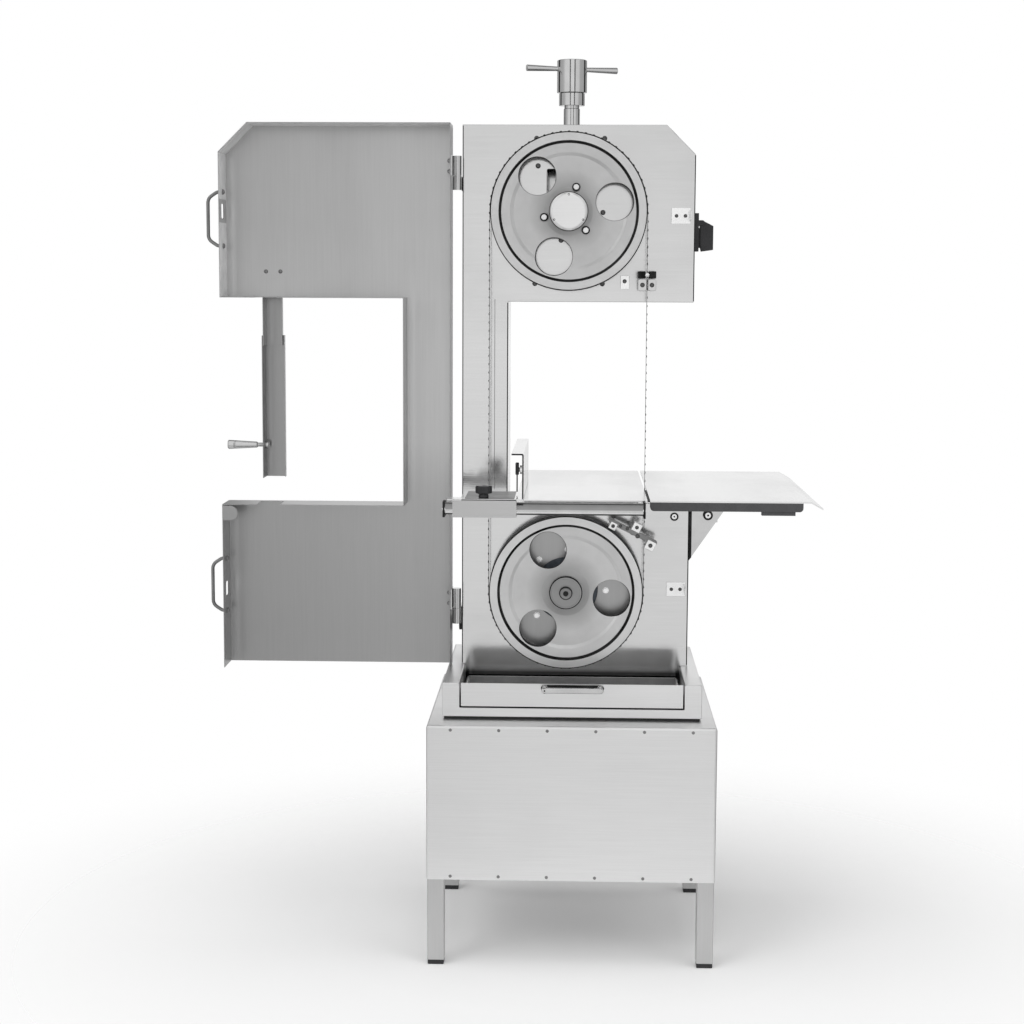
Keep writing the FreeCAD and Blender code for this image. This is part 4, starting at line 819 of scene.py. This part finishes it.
def upper_hub():
    """Bearing cap with its rim screws, bearing sleeve behind, and the three hub bolts."""
    f = box("upper_hub")[0].y
    cap = [
        (0, 0), (31, 0), (33, 0.5), (36, 3), (36, 13), (26, 13), (26, 38), (12.6, 38), (12.6, 4), (0, 4),
    ]
    # rim and collar are near-black rings of painted shade: round the cap's rim and round each hub bolt.
    rim = [(34.6, 3), (37.2, 5), (37.2, 12), (34.6, 12), (34.6, 3)]
    parts = [lathe("cap", rounded(cap, 0.8), (UP_X, f, UP_Z), Y, 72, 35)]
    rings = [lathe("cap_shadow", rim, (UP_X, f, UP_Z), Y, 72)]
    seat = f + 13.6
    collar = [(5.4, 0), (7.8, 1), (7.8, 4), (5.4, 4), (5.4, 0)]
    cap_screws = []
    for i in range(3):
        x, z = polar(UP_X, UP_Z, 31, 90 + HOLE_STEP * i)
        cap_screws.append(socket_screw("cap_screw", (x, f + 1.2, z), -Y, 2.6, 1.3))
        x, z = polar(UP_X, UP_Z, 48, 73 + HOLE_STEP * i)
        parts.append(hex_head("hub_bolt", (x, seat + 2, z), -Y, 5.6, 7))
        rings.append(lathe("bolt_shadow", collar, (x, seat - 2.6, z), Y, 32))
    hub = join("upper_bearing_hub", parts)
    piece(hub, "upper_wheel", "wheel_metal", ("upper_hub",), MATERIALS["plinth_steel"])
    piece(join("hub_shade_rings", rings), "upper_wheel", "wheel_metal", mat=EDGE_DARK)
    piece(join("cap_screws", cap_screws), "upper_wheel", "wheel_metal", mat=MATERIALS["screw_steel"])


def lower_hub():
    """Shaft bolt with a hexagon socket on a turned washer, over the keyed sleeve."""
    lo, hi = box("motor_shaft")
    at, end = (LOW_X, lo.y, LOW_Z), hi.y - lo.y
    disc = [
        (12.5, 9.4), (27, 9), (27.6, 9.5), (30, 9.6), (31, 10.6), (31, 14), (26, 14), (26, 42),
        (12.5, 42), (12.5, end), (4, end), (4, 10), (12.5, 9.4),
    ]
    hub = lathe("drive_shaft_hub", disc, at, Y, 64, 35)
    piece(hub, "lower_wheel", "bright_steel", ("motor_shaft",), LOWER_WHEEL_METAL)
    bolt = [(0, 5), (5, 5), (5.2, 0.4), (10, 0.2), (11.2, 1.2), (11.4, 10), (0, 10)]
    head = lathe("shaft_bolt", rounded(bolt, 0.4), at, Y, 64, 35)
    piece(head, "lower_wheel", "bright_steel", mat=DULL_STEEL)
    # Near-black rings: painted shade round the bolt head, round the washer's rim and in the hexagon socket.
    rings = [
        [(11, 5), (12.8, 6), (12.8, 9.5), (11, 9.5), (11, 5)],
        [(30.4, 10), (32.2, 11.4), (32.2, 13.6), (30.4, 13.6), (30.4, 10)],
        [(0, 1.2), (5.1, 1.2), (5.1, 5), (0, 5)],
    ]
    shadows = [lathe("hub_shadow", ring, at, Y, 64) for ring in rings]
    piece(join("shaft_shade_rings", shadows), "lower_wheel", "bright_steel", mat=EDGE_DARK)


def shade_behind_lower_wheel():
    """Painted shade behind the lower wheel's windows: a darker ring round the motor opening, standing for
    the motor's mounting plate.
    """
    inner, outer, proud = 62.5, 127, 0.4
    ring = [(inner, 0), (outer - proud, 0), (outer, proud), (inner, proud), (inner, 0)]
    face = lathe("motor_plate_shade", ring, (LOW_X, box("panel_lower")[0].y - proud, LOW_Z), Y, 96, 35)
    piece(face, "frame", "panel_steel", mat=GUARD_STEEL)


def blade():
    """The toothed band: a closed loop with pairs of teeth along its front edge, every other one set."""
    lo, hi = box("saw_blade")
    r = (hi.x - lo.x) / 2
    run, bend = UP_Z - LOW_Z, math.pi * r
    length = 2 * run + 2 * bend
    per_tooth, pair_pitch = 4, 16
    steps = 2 * round(length / pair_pitch) * per_tooth
    gullet = (4.2, 0.0, 1.4, 3.2)
    band, root_depth, tooth_set = 0.6, 5, 1.1

    def station(s):
        """Height of the centre and outward direction at distance s round the loop."""
        if s < run:
            return LOW_Z + s, X
        s -= run
        if s < bend:
            return UP_Z, X * math.cos(s / r) + Z * math.sin(s / r)
        s -= bend
        if s < run:
            return UP_Z - s, -X
        a = math.pi + (s - run) / r
        return LOW_Z, X * math.cos(a) + Z * math.sin(a)

    bm = bmesh.new()
    loops = []
    for i in range(steps):
        z, out = station(length * i / steps)
        centre = Vector((UP_X, 0, z))
        spread = tooth_set if (i // per_tooth) % 2 and i % per_tooth in (1, 2) else 0
        tip, root, heel = lo.y + gullet[i % per_tooth], lo.y + root_depth, hi.y
        inner, outer = r - band, r
        section = (
            (inner + spread, tip), (outer + spread, tip), (outer, root), (outer, heel), (inner, heel),
            (inner, root),
        )
        loops.append([bm.verts.new(centre + out * a + Y * y) for a, y in section])
    skin(bm, loops + loops[:1])
    piece(make_object("toothed_blade", bm, 30), "frame", "blade_steel", ("saw_blade",))


# ------------------------------------------------------------------ top screw and knobs


def tension_top():
    """T-handle: straight turned hub, tapered cross bar and nipple, over the sleeve and collar."""
    tower_lo, tower_hi = box("tension_tower")
    lo, hi = box("tension_handle")
    axis = ((lo.x + hi.x) / 2, (lo.y + hi.y) / 2, 0)
    collar, base, top, r = tower_hi.z, tower_hi.z + 0.5, hi.z - 3, 29
    hub = [(0, base), (r - 1, base), (r, base + 1), (r, top - 1.4), (r - 1.4, top), (0, top)]
    nipple = [(0, top - 1), (5, top - 1), (5, top + 0.6), (2.6, top + 1.4), (3, top + 2.4), (0, hi.z)]
    turn = math.radians(18)
    tip, neck, drop = 6.2, 4.4, 17
    half = ((hi.x - lo.x) / 2 - tip * math.sin(turn)) / math.cos(turn)
    bar = [
        (0, -half), (tip - 0.9, -half), (tip, -half + 1), (neck, -r), (neck, r), (tip, half - 1),
        (tip - 0.9, half), (0, half),
    ]
    screw = [(0, lo.z), (6.5, lo.z), (8, lo.z + 2), (8, base + 1), (0, base + 1)]
    parts = [
        lathe("t_hub", hub, axis, Z, 96, 50), lathe("nipple", nipple, axis, Z, 24),
        lathe("t_bar", bar, (*axis[:2], top - drop), X * math.cos(turn) + Y * math.sin(turn), 32, 50),
        lathe("t_screw", screw, axis, Z, 32),
    ]
    piece(join("tension_t_handle", parts), "tension_handle", "bright_steel", ("tension_handle",))
    foot, step = tower_lo.z, collar - 24
    tower = [
        (8.1, foot), (24, foot), (24, foot + 2.2), (23, foot + 3), (15.8, foot + 3), (15.8, step - 6),
        (14.6, step - 5), (14.6, step), (24.2, step), (25, step + 1), (25, collar - 1), (24.2, collar),
        (8.1, collar), (8.1, foot),
    ]
    piece(lathe("tension_sleeve", tower, axis, Z, 96, 50), "frame", "bright_steel", ("tension_tower",))


def star_knob():
    """Five-lobed clamping knob on its neck and stud."""
    lo, hi = box("fence_knob")
    cx, cy, z = (lo.x + hi.x) / 2, RAIL_Y, hi.z - 14
    lobes, mean_r, wave, points = 5, 13.4, 2.4, 100
    loop = []
    for i in range(points):
        a = 2 * math.pi * i / points
        r = mean_r + wave * math.cos(lobes * (a - math.pi / 2))
        loop.append((r * math.cos(a), r * math.sin(a)))
    head = prism("star_head", loop, (cx, cy, z), X, Y, Z * (hi.z - z), 2.2, 50)
    neck = [(0, hi.z - 22), (8.5, hi.z - 22), (9.5, hi.z - 20), (8, z + 1), (0, z + 1)]
    stem = lathe("star_neck", rounded(neck, 0.8), (cx, cy, 0), Z, 32)
    piece(join("star_knob", [head, stem]), "fence_knob", "black_plastic", ("fence_knob",))
    stud = [(0, lo.z), (3.4, lo.z), (4, lo.z + 0.8), (4, hi.z - 21), (0, hi.z - 21)]
    piece(lathe("star_stud", stud, (cx, cy, 0), Z, 24), "fence_knob", "bright_steel")


def small_lever():
    """The fence's small black-capped clamping lever on its steel stud."""
    lo, hi = box("fence_lever")
    x, y, z = lo.x, -200, 933
    loop = [(-3.2, -9.6), (2.4, -9.6)] + arc(0.4, 8.6, 4.6, -10, 190, 12)
    arm = prism("lever_arm", loop, (x + 0.4, y, z), Y, Z, X * 6.6, 1.6, 50)
    piece(arm, "fence_lever", "black_plastic", ("fence_lever",))
    stud = lathe("lever_stud", [(0, x + 6), (4, x + 6), (4, hi.x), (0, hi.x)], (0, y, z), X, 24)
    stem = rod("lever_stem", [(x + 3.6, y, z - 8), (x + 3.6, y, z - 41)], 1.3)
    piece(join("lever_stud_stem", [stud, stem]), "fence_lever", "screw_steel")


def guard_clamp():
    """Tapered grip of the blade guard, with its washer, stud and nut."""
    lo, hi = box("guard_handle")
    x, wall = lo.x, box("guard_channel")[0].x
    shape = [
        (0, x), (7.6, x), (9, x + 2), (8.6, x + 12), (8, x + 14), (8.3, x + 16), (6, wall - 14.5),
        (4, wall - 13), (4, wall - 2.4), (7, wall - 2.3), (7, wall - 0.3), (4, wall - 0.3), (4, wall + 1.8),
        (7.4, wall + 1.8), (7.4, wall + 8), (6, hi.x), (0, hi.x),
    ]
    grip = lathe("guard_grip", rounded(shape, 0.5), (0, (lo.y + hi.y) / 2, (lo.z + hi.z) / 2), X, 40, 30)
    piece(grip, "guard_clamp", "bright_steel", ("guard_handle",))


# ------------------------------------------------------------------ stand and plinth


def stand_shell():
    """The stand's top and apron sheets, folded and welded as one skirted tray with rounded corners."""
    lo, hi = box("stand_top")
    bottom, top = box("aprons")[0].z, hi.z
    r, lip = 5, 14
    layers = []
    for k in range(4):
        a = math.radians(90 - 30 * k)
        layers.append((r * (1 - math.cos(a)), top - r + r * math.sin(a)))
    layers += [
        (0, bottom + 1.4), (0.4, bottom + 0.4), (1.4, bottom), (lip, bottom), (lip, bottom + SHEET),
        (SHEET, bottom + SHEET), (SHEET, top - SHEET),
    ]
    bm = bmesh.new()
    made = []
    for inset, z in layers:
        ring = rect_loop(lo.x + inset, hi.x - inset, lo.y + inset, hi.y - inset, max(r - inset, 0.6))
        made.append([bm.verts.new((x, y, z)) for x, y in ring])
    skin(bm, made)
    cap_ends(bm, made)
    piece(make_object("stand_tray", bm, 30), "frame", "stand_steel", ("stand_top", "aprons"))


def legs():
    """Square tube legs with rounded corners, each on a black foot plug."""
    lo, hi = box("legs")
    width, plug, inset = 32, 9, 0.8
    tubes, plugs = [], []
    for x in (lo.x, hi.x - width):
        for y in (lo.y, hi.y - width):
            loop = rect_loop(x, x + width, y, y + width, 3, 4)
            tubes.append(shelf("leg", loop, plug, hi.z - plug, 0.4))
            loop = rect_loop(x + inset, x + width - inset, y + inset, y + width - inset, 2.6, 4)
            plugs.append(shelf("plug", loop, 0, plug + 2, 1.4))
    piece(join("leg_tubes", tubes), "frame", "stand_steel", ("legs",), LEG_STEEL)
    piece(join("foot_plugs", plugs), "frame", "black_plastic")


def heads(name, node_name, axis, kind, mat=None):
    """One real screw head for every solid of a fastener node."""
    made = []
    for lo, hi in solid_boxes(node_name):
        size = hi - lo
        height = abs(size.dot(axis))
        r = (sum(size) - height) / 4
        made.append(kind("head", (lo + hi) / 2 - axis * height / 2, axis, r, height))
    return piece(join(name, made), "frame", "screw_steel", (node_name,), mat)


def solid_boxes(node_name):
    """Lowest and highest corners of each separate solid of a node, at rest, in order of place."""
    obj = frame["nodes"][node_name]
    mesh = obj.data
    parent = list(range(len(mesh.vertices)))

    def root(i):
        while parent[i] != i:
            parent[i] = parent[parent[i]]
            i = parent[i]
        return i

    seen = {}
    for v in mesh.vertices:
        first = seen.setdefault(tuple(round(c, 6) for c in v.co), v.index)
        parent[root(v.index)] = root(first)
    for e in mesh.edges:
        a, b = (root(i) for i in e.vertices)
        parent[a] = b
    groups = {}
    for v in mesh.vertices:
        groups.setdefault(root(v.index), []).append(obj.matrix_world @ v.co)
    boxes = []
    for points in groups.values():
        lo, hi = (Vector([pick(p[k] for p in points) for k in range(3)]) for pick in (min, max))
        boxes.append((lo, hi))
    boxes.sort(key=lambda b: tuple(round(c, 5) for c in b[0]))
    return [(lo / MM, hi / MM) for lo, hi in boxes]


def plinth_shell():
    """The plinth's U-fronted case raised over a foot painted dark as shadow: two cheeks joined by a low
    sill.
    """
    lo, hi = box("plinth_cheeks")
    base_lo, base_hi = box("plinth_base")
    sill, r, gap, foot, inset = base_hi.z - 2.5, 3, 1.6, 4.5, 3
    left, right = base_lo.x - gap, base_hi.x + gap
    loop = [(lo.x, lo.z + foot), (hi.x, lo.z + foot)] + arc(hi.x - r, hi.z - r, r, 0, 90, 4)
    loop += arc(right + r, hi.z - r, r, 90, 180, 4) + [(right, sill), (left, sill)]
    loop += arc(left - r, hi.z - r, r, 0, 90, 4) + arc(lo.x + r, hi.z - r, r, 90, 180, 4)
    case = bake_modifiers(slab("plinth_case", loop, lo.y, hi.y - lo.y, 1.2))
    piece(case, "frame", "plinth_steel", ("plinth_cheeks", "plinth_base"))
    # Painted shadow: a dark foot filling the gap under the raised case.
    ring = rect_loop(lo.x + inset, hi.x - inset, lo.y + inset, hi.y - inset, 2)
    piece(shelf("plinth_foot_shade", ring, lo.z, foot + 1, 0.4), "frame", "plinth_steel", mat=SHADOW_GROOVE)
    # Painted shade: a dark strip along the top of the sill, in the drawer well.
    loop = corners(left + 0.2, right - 0.2, sill + 0.1, sill + 0.6)
    lining = slab("drawer_well_shade", loop, lo.y + 1, 180)
    piece(lining, "frame", "plinth_steel", mat=SHADOW_GROOVE)


# ------------------------------------------------------------------ small parts on the panel


def scraper():
    """Sloping slotted bar with square scraper blocks and their screws, on a post from the panel."""
    tilt = math.radians(26)
    along = X * math.cos(tilt) - Z * math.sin(tilt)
    across = X * math.sin(tilt) + Z * math.cos(tilt)
    centre = Vector((115, 0, 801))
    bar_y = -66

    def spot(u, v, y):
        return centre + along * u + across * v + Y * y

    bar = arc(46, 0, 5, -90, 90, 8) + arc(-46, 0, 5, 90, 270, 8)
    post = [(0, 0), (7, 0), (7, 58), (0, 58)]
    dark = [
        prism("scraper_bar", bar, spot(0, 0, bar_y), along, across, Y * 8, 0.8),
        lathe("post", post, spot(0, 0, -58), Y, 32),
    ]
    piece(join("scraper_bar", dark), "frame", "bright_steel", ("lower_scraper",), DULL_STEEL)
    light, screws = [], []
    for u, v, half, y, depth in ((-40, -6, 7, -70, 12), (2, 12, 8.5, -71.9, 19.9), (41, -8, 9, -70, 43)):
        loop = corners(-half, half, -half, half)
        light.append(prism("block", loop, spot(u, v, y), along, across, Y * depth, 0.8))
    piece(join("scraper_blocks", light), "frame", "bright_steel", mat=PLATE_STEEL)
    for u, v, r, y, height in (
        (-40, -6, 3.6, -70, 1.9), (2, 12, 3.8, -71.9, 0.1), (41, -8, 4.2, -70, 1.9),
        (-27, 0, 3.2, bar_y, 1.9), (-13, 1, 3.2, bar_y, 1.9), (11, -3, 4.4, bar_y, 1.9),
    ):
        screws.append(socket_screw("scraper_screw", spot(u, v, y), -Y, r, height))
    piece(join("scraper_screws", screws), "frame", "screw_steel")


def blade_guide():
    """Two rounded guide blocks under a dark arm, the nut between them, and the small plate."""
    (lo, hi), (plate_lo, plate_hi) = sorted(solid_boxes("upper_guide"), key=lambda b: b[0].y)
    mid = box("saw_blade")[1].x - 0.6
    blocks = [
        slab("guide_block", rect_loop(x0, x1, lo.z, lo.z + 22, 3.4), lo.y, 36, 0.8)
        for x0, x1 in ((lo.x, mid - 1.2), (mid + 1.8, hi.x))
    ]
    piece(join("guide_blocks", blocks), "frame", "bright_steel", ("upper_guide",))
    arm = [
        slab("guide_arm", rect_loop(x0, x1, hi.z - 13.6, hi.z, 1.5), lo.y, -lo.y, 0.8)
        for x0, x1 in ((lo.x, mid - 3), (mid + 4, hi.x))
    ]
    piece(join("guide_arm", arm), "frame", "bright_steel", mat=EDGE_DARK)
    nut = dome_nut("guide_nut", (mid, lo.y, hi.z - 7), -Y, 4.4, 3.5)
    piece(nut, "frame", "bright_steel", mat=PLATE_STEEL)
    loop = rect_loop(plate_lo.x, plate_hi.x, plate_lo.z, plate_hi.z, 1)
    plate = slab("guide_plate", loop, plate_lo.y, plate_hi.y - plate_lo.y, 0.5)
    piece(plate, "frame", "bright_steel", mat=PLATE_STEEL)


def latches():
    """Bent angle plates at the housing's right edge."""
    thick = 2
    plates = []
    for lo, hi in solid_boxes("latch_plates"):
        plates.append(slab("latch", rect_loop(lo.x, hi.x, lo.z, hi.z, 1.2), -thick, thick, 0.4))
        tab = [(-thick, lo.z + 4), (lo.y, lo.z + 7), (lo.y, hi.z - 7), (-thick, hi.z - 4)]
        plates.append(side_slab("tab", tab, hi.x - thick, thick, 0.5))
    piece(join("latch_angles", plates), "frame", "bright_steel", ("latch_plates",), PLATE_STEEL)


def ringed_bolt(name, node_name, r, proud):
    """A socket bolt standing proud of its node's front: bright head, with painted shade in a dark ring
    round it and in its socket.
    """
    lo, hi = box(node_name)
    x, z = (lo.x + hi.x) / 2, (lo.z + hi.z) / 2
    face = (x, lo.y - proud, z)
    # Painted shade: a near-black ring round the head, and a dark disc in the socket.
    ring = [(0.52 * r, 0), (0.86 * r, 0), (0.86 * r, proud), (0.52 * r, proud), (0.52 * r, 0)]
    ring = lathe("ring", ring, (x, lo.y - 0.75 * proud, z), Y, 40)
    socket = lathe("socket", [(0, 0), (0.2 * r, 0), (0.2 * r, 0.1), (0, 0.1)], face, Y, 6)
    piece(join(name + "_ring", [ring, socket]), "frame", "screw_steel", mat=EDGE_DARK)
    shape = [(0, 0.06), (0.5 * r, 0.06), (0.54 * r, 0.3 * proud), (0.54 * r, proud), (0, proud)]
    piece(lathe(name + "_head", shape, face, Y, 32), "frame", "bright_steel", mat=PLATE_STEEL)


def bracket_details():
    """Rod and sensor bolts, a dark strip of painted shade in the gap beside the bracket, and painted shade
    in the blade slot.
    """
    ringed_bolt("sensor_bolt", "interlock_sensor", 9.5, 0.3)
    ringed_bolt("rod_bolt", "guide_rod", 11, 2)
    lo, hi = box("table_bracket")
    x = box("shell_lower")[1].x
    # Painted shade: a near-black strip in the gap between the housing and the bracket.
    loop = [(x, lo.z), (x + 5, lo.z + 6), (x + 5, hi.z), (x, hi.z)]
    piece(slab("bracket_gap_shade", loop, -0.9, 0.8, 0.2), "frame", "black_plastic", mat=EDGE_DARK)
    lo, hi = box("fixed_table")
    # Painted shade: a dark strip in the blade slot at the fixed table's edge.
    loop = corners(hi.x + 0.2, hi.x + 4.6, hi.z - 2.8, hi.z - 0.6)
    piece(slab("slot_shade", loop, lo.y + 1, 190, 0.2), "frame", "black_plastic", mat=SHADOW_GROOVE)


# ------------------------------------------------------------------ rail, fence and guard


def front_rail():
    """Polished rail tube between two dark end plates, each held by a cap nut."""
    lo, hi = box("front_rail")
    r, plate, tab_y, tab = 11, 4, -257.5, 3.2
    tube = [(9, lo.x + 1), (r, lo.x + 1), (r, hi.x - 1), (9, hi.x - 1), (9, lo.x + 1)]
    tube = lathe("rail_tube", tube, (0, RAIL_Y, RAIL_Z), X, 64)
    piece(tube, "frame", "bright_steel", ("front_rail",), RAIL_STEEL)
    loop = [
        (lo.y, lo.z), (hi.y, lo.z), (hi.y, hi.z - tab), (tab_y, hi.z - tab), (tab_y, hi.z), (lo.y, hi.z),
    ]
    ends = (lo.x, hi.x - plate)
    plates = [side_slab("rail_plate", loop, x, plate, 0.6) for x in ends]
    nuts = [dome_nut("rail_nut", (x + plate / 2, lo.y + 0.2, RAIL_Z), Y, 3.4, 3) for x in ends]
    piece(join("rail_end_plates", plates), "frame", "bright_steel", mat=EDGE_DARK)
    piece(join("rail_nuts", nuts), "frame", "bright_steel", mat=PLATE_STEEL)


def fence_trim():
    """Near-black strips of painted shade on the fence's front edges, a grey face on its base plate, and a
    dark band along the base's front.
    """
    lo, hi = box("fence")
    y, t = -257, 2.6
    # Painted shade: near-black strips along the fence's front edges.
    front = [(hi.x - 22, hi.z - t), (hi.x - 3, hi.z - t)] + arc(hi.x - 4, hi.z - t - 1.6, 1.6, 90, 0, 4)
    front += [(hi.x - t, lo.z + 1), (hi.x, lo.z + 1)] + arc(hi.x - 4, hi.z - 4, 4, 0, 90, 6)
    front += [(hi.x - 22, hi.z)]
    piece(slab("fence_edge_shade", front, y - 0.3, 1), "fence", "table_steel", mat=EDGE_DARK)
    # A grey face on the base plate's top.
    top = rect_loop(lo.x + 8, hi.x - 16, lo.y + 4, -154, 2)
    piece(shelf("fence_base_grey_face", top, lo.z + 3.2, 0.2), "fence", "table_steel", mat=DULL_STEEL)
    band = corners(lo.x + 2, hi.x - 12, lo.z + 0.2, lo.z + 2)
    piece(slab("fence_base_edge", band, lo.y - 0.15, 0.3), "fence", "table_steel", mat=EDGE_DARK)


def guard_wall():
    """The shaded inner wall of the blade guard's channel."""
    lo, hi = box("guard_channel")
    loop = corners(lo.y + 0.6, hi.y - 0.8, lo.z + 0.6, hi.z - 0.6)
    wall = side_slab("guard_shaded_wall", loop, lo.x + 1.7, 0.2)
    piece(wall, "guard", "door_steel", mat=DULL_STEEL)


# ------------------------------------------------------------------ drawer


def drawer_lining():
    """Satin inner faces of the open scrap drawer, and painted shade on its back wall."""
    lo, hi = box("drawer")
    t, skin_t, front = 3.4, 0.3, box("plinth_cheeks")[0].y
    x0, x1, y0, y1 = lo.x + t, hi.x - t, front + 1.8, hi.y - t
    z0, z1 = lo.z + t, hi.z - 22.6
    faces = [
        shelf("floor", rect_loop(x0, x1, y0, y1, 1), z0, skin_t),
        slab("near", rect_loop(x0, x1, z0, hi.z - 0.8, 1), front + 0.1, 2),
    ]
    faces += [side_slab("side", rect_loop(y0, y1, z0, z1, 1), x, skin_t) for x in (x0, x1 - skin_t)]
    # Painted shade: a dark face on the drawer's back wall.
    back = slab("drawer_back_shade", rect_loop(x0, x1, z0, z1, 1), hi.y - 2.1, 0.4)
    piece(back, "drawer", "plinth_steel", mat=DULL_STEEL)
    piece(join("drawer_satin_faces", faces), "drawer", "plinth_steel", mat=SATIN_LINING)


def drawer_pull():
    """A flat bar pull with round ends on two stubs, with painted shade in its recess and on its left end.
    """
    lo, hi = box("drawer_handle")
    z, r, deep = (lo.z + hi.z) / 2, (hi.z - lo.z) / 2, hi.y - lo.y

    def pill(radius):
        return arc(hi.x - r, 0, radius, -90, 90, 10) + arc(lo.x + r, 0, radius, 90, 270, 10)

    parts = [prism("pull_bar", pill(r), (0, lo.y, z), X, Z, Y * 7, 1.6)]
    stub = [(0, 5), (4.2, 5), (4.2, deep - 1.6), (5, deep - 0.8), (5, deep), (0, deep)]
    parts += [lathe("stub", stub, (x, lo.y, z), Y, 24) for x in (lo.x + r + 1, hi.x - r - 1)]
    piece(join("drawer_pull", parts), "drawer", "bright_steel", ("drawer_handle",))
    # Painted shade: a dark recess behind the bar and a dark cap on its left end.
    shade = prism("pull_recess_shade", pill(r + 1.3), (0, hi.y - 0.5, z - 1), X, Z, Y * 0.4, 0)
    end = lathe("pull_end_shade", [(0, -0.2), (r, 0.4), (r, 3), (0, 3)], (lo.x + r + 1, lo.y, z), Y, 32)
    piece(join("drawer_pull_shade", [shade, end]), "drawer", "bright_steel", mat=EDGE_DARK)


# ------------------------------------------------------------------ build


front_panel()
vent_cover()
door_sheet()
door_trim()
door_pulls()
hinge_nuts()
wheel("upper_band_wheel", "upper_wheel", (UP_X, UP_Z), 12, MATERIALS["wheel_metal"])
wheel("lower_band_wheel", "lower_wheel", (LOW_X, LOW_Z), 113, LOWER_WHEEL_METAL)
upper_hub()
lower_hub()
shade_behind_lower_wheel()
blade()
tension_top()
star_knob()
small_lever()
guard_clamp()
stand_shell()
legs()
heads("apron_rivets", "apron_screws", -Y, socket_screw, DULL_STEEL)
heads("housing_bolts", "panel_screws", -Y, socket_screw)
heads("cover_bolts", "cover_screws", Y, socket_screw)
heads("motor_bolts", "motor_screws", -Y, hex_head, PLATE_STEEL)
plinth_shell()
drawer_pull()
drawer_lining()
scraper()
blade_guide()
latches()
bracket_details()
front_rail()
fence_trim()
guard_wall()
dress_cad_nodes()


# ------------------------------------------------------------------ set, light and camera


def floor():
    """A large pale disc under the stand that melts into the white of the studio."""
    bm = bmesh.new()
    radius = 4000
    bm.faces.new([bm.verts.new((*point, 0)) for point in arc(0, 0, radius, 0, 360, 96)[:-1]])
    disc = make_object("studio_floor", bm)
    mat, tree, bsdf = new_material("studio_floor")
    tone = ramp(tree, noise(tree, (1, 1, 1), 0.6, 2), [(0.3, 0.86), (0.7, 0.89)])
    away = node(tree, "VectorMath", {0: object_point(tree)}, operation="LENGTH")["Value"]
    limits = {"From Min": 0.3, "From Max": 1.5, "To Min": 1.0, "To Max": 0.0, "Value": away}
    fade = node(tree, "MapRange", limits, interpolation_type="SMOOTHSTEP")["Result"]
    feed(tree, bsdf, {
        "Base Color": tone, "Roughness": 0.9, "Specular IOR Level": 0.1, "Alpha": fade,
        "Emission Color": (1, 1, 1, 1), "Emission Strength": 0.14,
    })
    disc.data.materials.append(mat)


def world():
    """White to the camera; to the metal, a bright room with dark screens behind and at the sides."""
    env = bpy.data.worlds.new("studio")
    bpy.context.scene.world = env
    env.use_nodes = True
    tree = env.node_tree
    back = tree.nodes["Background"]
    split = node(tree, "SeparateXYZ", {0: node(tree, "TexCoord", {})["Generated"]})

    def half(output):
        return node(tree, "Math", {0: output, 1: 0.5, 2: 0.5}, operation="MULTIPLY_ADD")[0]

    height = ramp(tree, half(split["Z"]), [(0.0, 0.62), (0.36, 0.78), (0.5, 0.96), (1.0, 1.0)])
    depth = ramp(tree, half(split["Y"]), [
        (0.0, 1.0), (0.60, 0.92), (0.66, 0.03), (0.75, 0.03), (0.80, 0.45), (0.95, 0.5), (0.975, 0.95),
        (1.0, 1.0),
    ])
    sides = ramp(tree, half(split["X"]), [
        (0.0, 0.6), (0.04, 0.7), (0.10, 1.0), (0.345, 1.0), (0.36, 0.05), (0.405, 0.05), (0.42, 1.0),
        (0.65, 1.0), (0.665, 0.08), (0.715, 0.08), (0.73, 0.9), (0.90, 0.9), (0.96, 0.6), (1.0, 0.6),
    ])
    room = multiply(tree, multiply(tree, height, depth), sides)
    feed(tree, back, {"Color": room, "Strength": 1.0})
    white = node(tree, "Background", {"Color": (1, 1, 1, 1), "Strength": 1.0})
    seen = node(tree, "LightPath", {})["Is Camera Ray"]
    mix = node(tree, "MixShader", {0: seen, 1: back.outputs[0], 2: white[0]})
    feed(tree, tree.nodes["World Output"], {"Surface": mix[0]})


def area(name, at, target, size, power):
    lamp = bpy.data.lights.new(name, "AREA")
    lamp.shape = "RECTANGLE"
    lamp.size, lamp.size_y = size
    lamp.energy = power
    obj = bpy.data.objects.new(name, lamp)
    bpy.context.collection.objects.link(obj)
    obj.visible_glossy = False
    obj.location = at
    obj.rotation_euler = (Vector(target) - Vector(at)).to_track_quat("-Z", "Y").to_euler()


def camera():
    """The view of the sheet-metal side, a little above table height and almost square on."""
    location = Vector((0.0045, -3.7893, 1.2720))
    down, turn, roll = 0.1159, -0.0329, 0.0044
    forward = Vector((math.sin(turn) * math.cos(down), math.cos(turn) * math.cos(down), -math.sin(down)))
    right = Vector((math.cos(turn), -math.sin(turn), 0))
    up = right.cross(forward)
    side = right * math.cos(roll) + up * math.sin(roll)
    top = up * math.cos(roll) - right * math.sin(roll)
    data = bpy.data.cameras.new("view")
    data.sensor_width = 36
    data.lens = 68.55
    obj = bpy.data.objects.new("view", data)
    bpy.context.collection.objects.link(obj)
    rows = [(side[k], top[k], -forward[k], location[k]) for k in range(3)]
    obj.matrix_world = Matrix(rows + [(0, 0, 0, 1)])
    bpy.context.scene.camera = obj


floor()
world()
camera()
area("key", (-2.8, -3.4, 3.8), (0, 0, 0.9), (2.4, 1.8), 38)
area("fill", (2.6, -3.0, 1.6), (0, 0, 0.8), (1.8, 2.2), 14)
area("top", (0.2, -0.4, 3.6), (0, 0, 0.8), (3.0, 2.4), 26)
bpy.context.scene.view_settings.view_transform = "Standard"
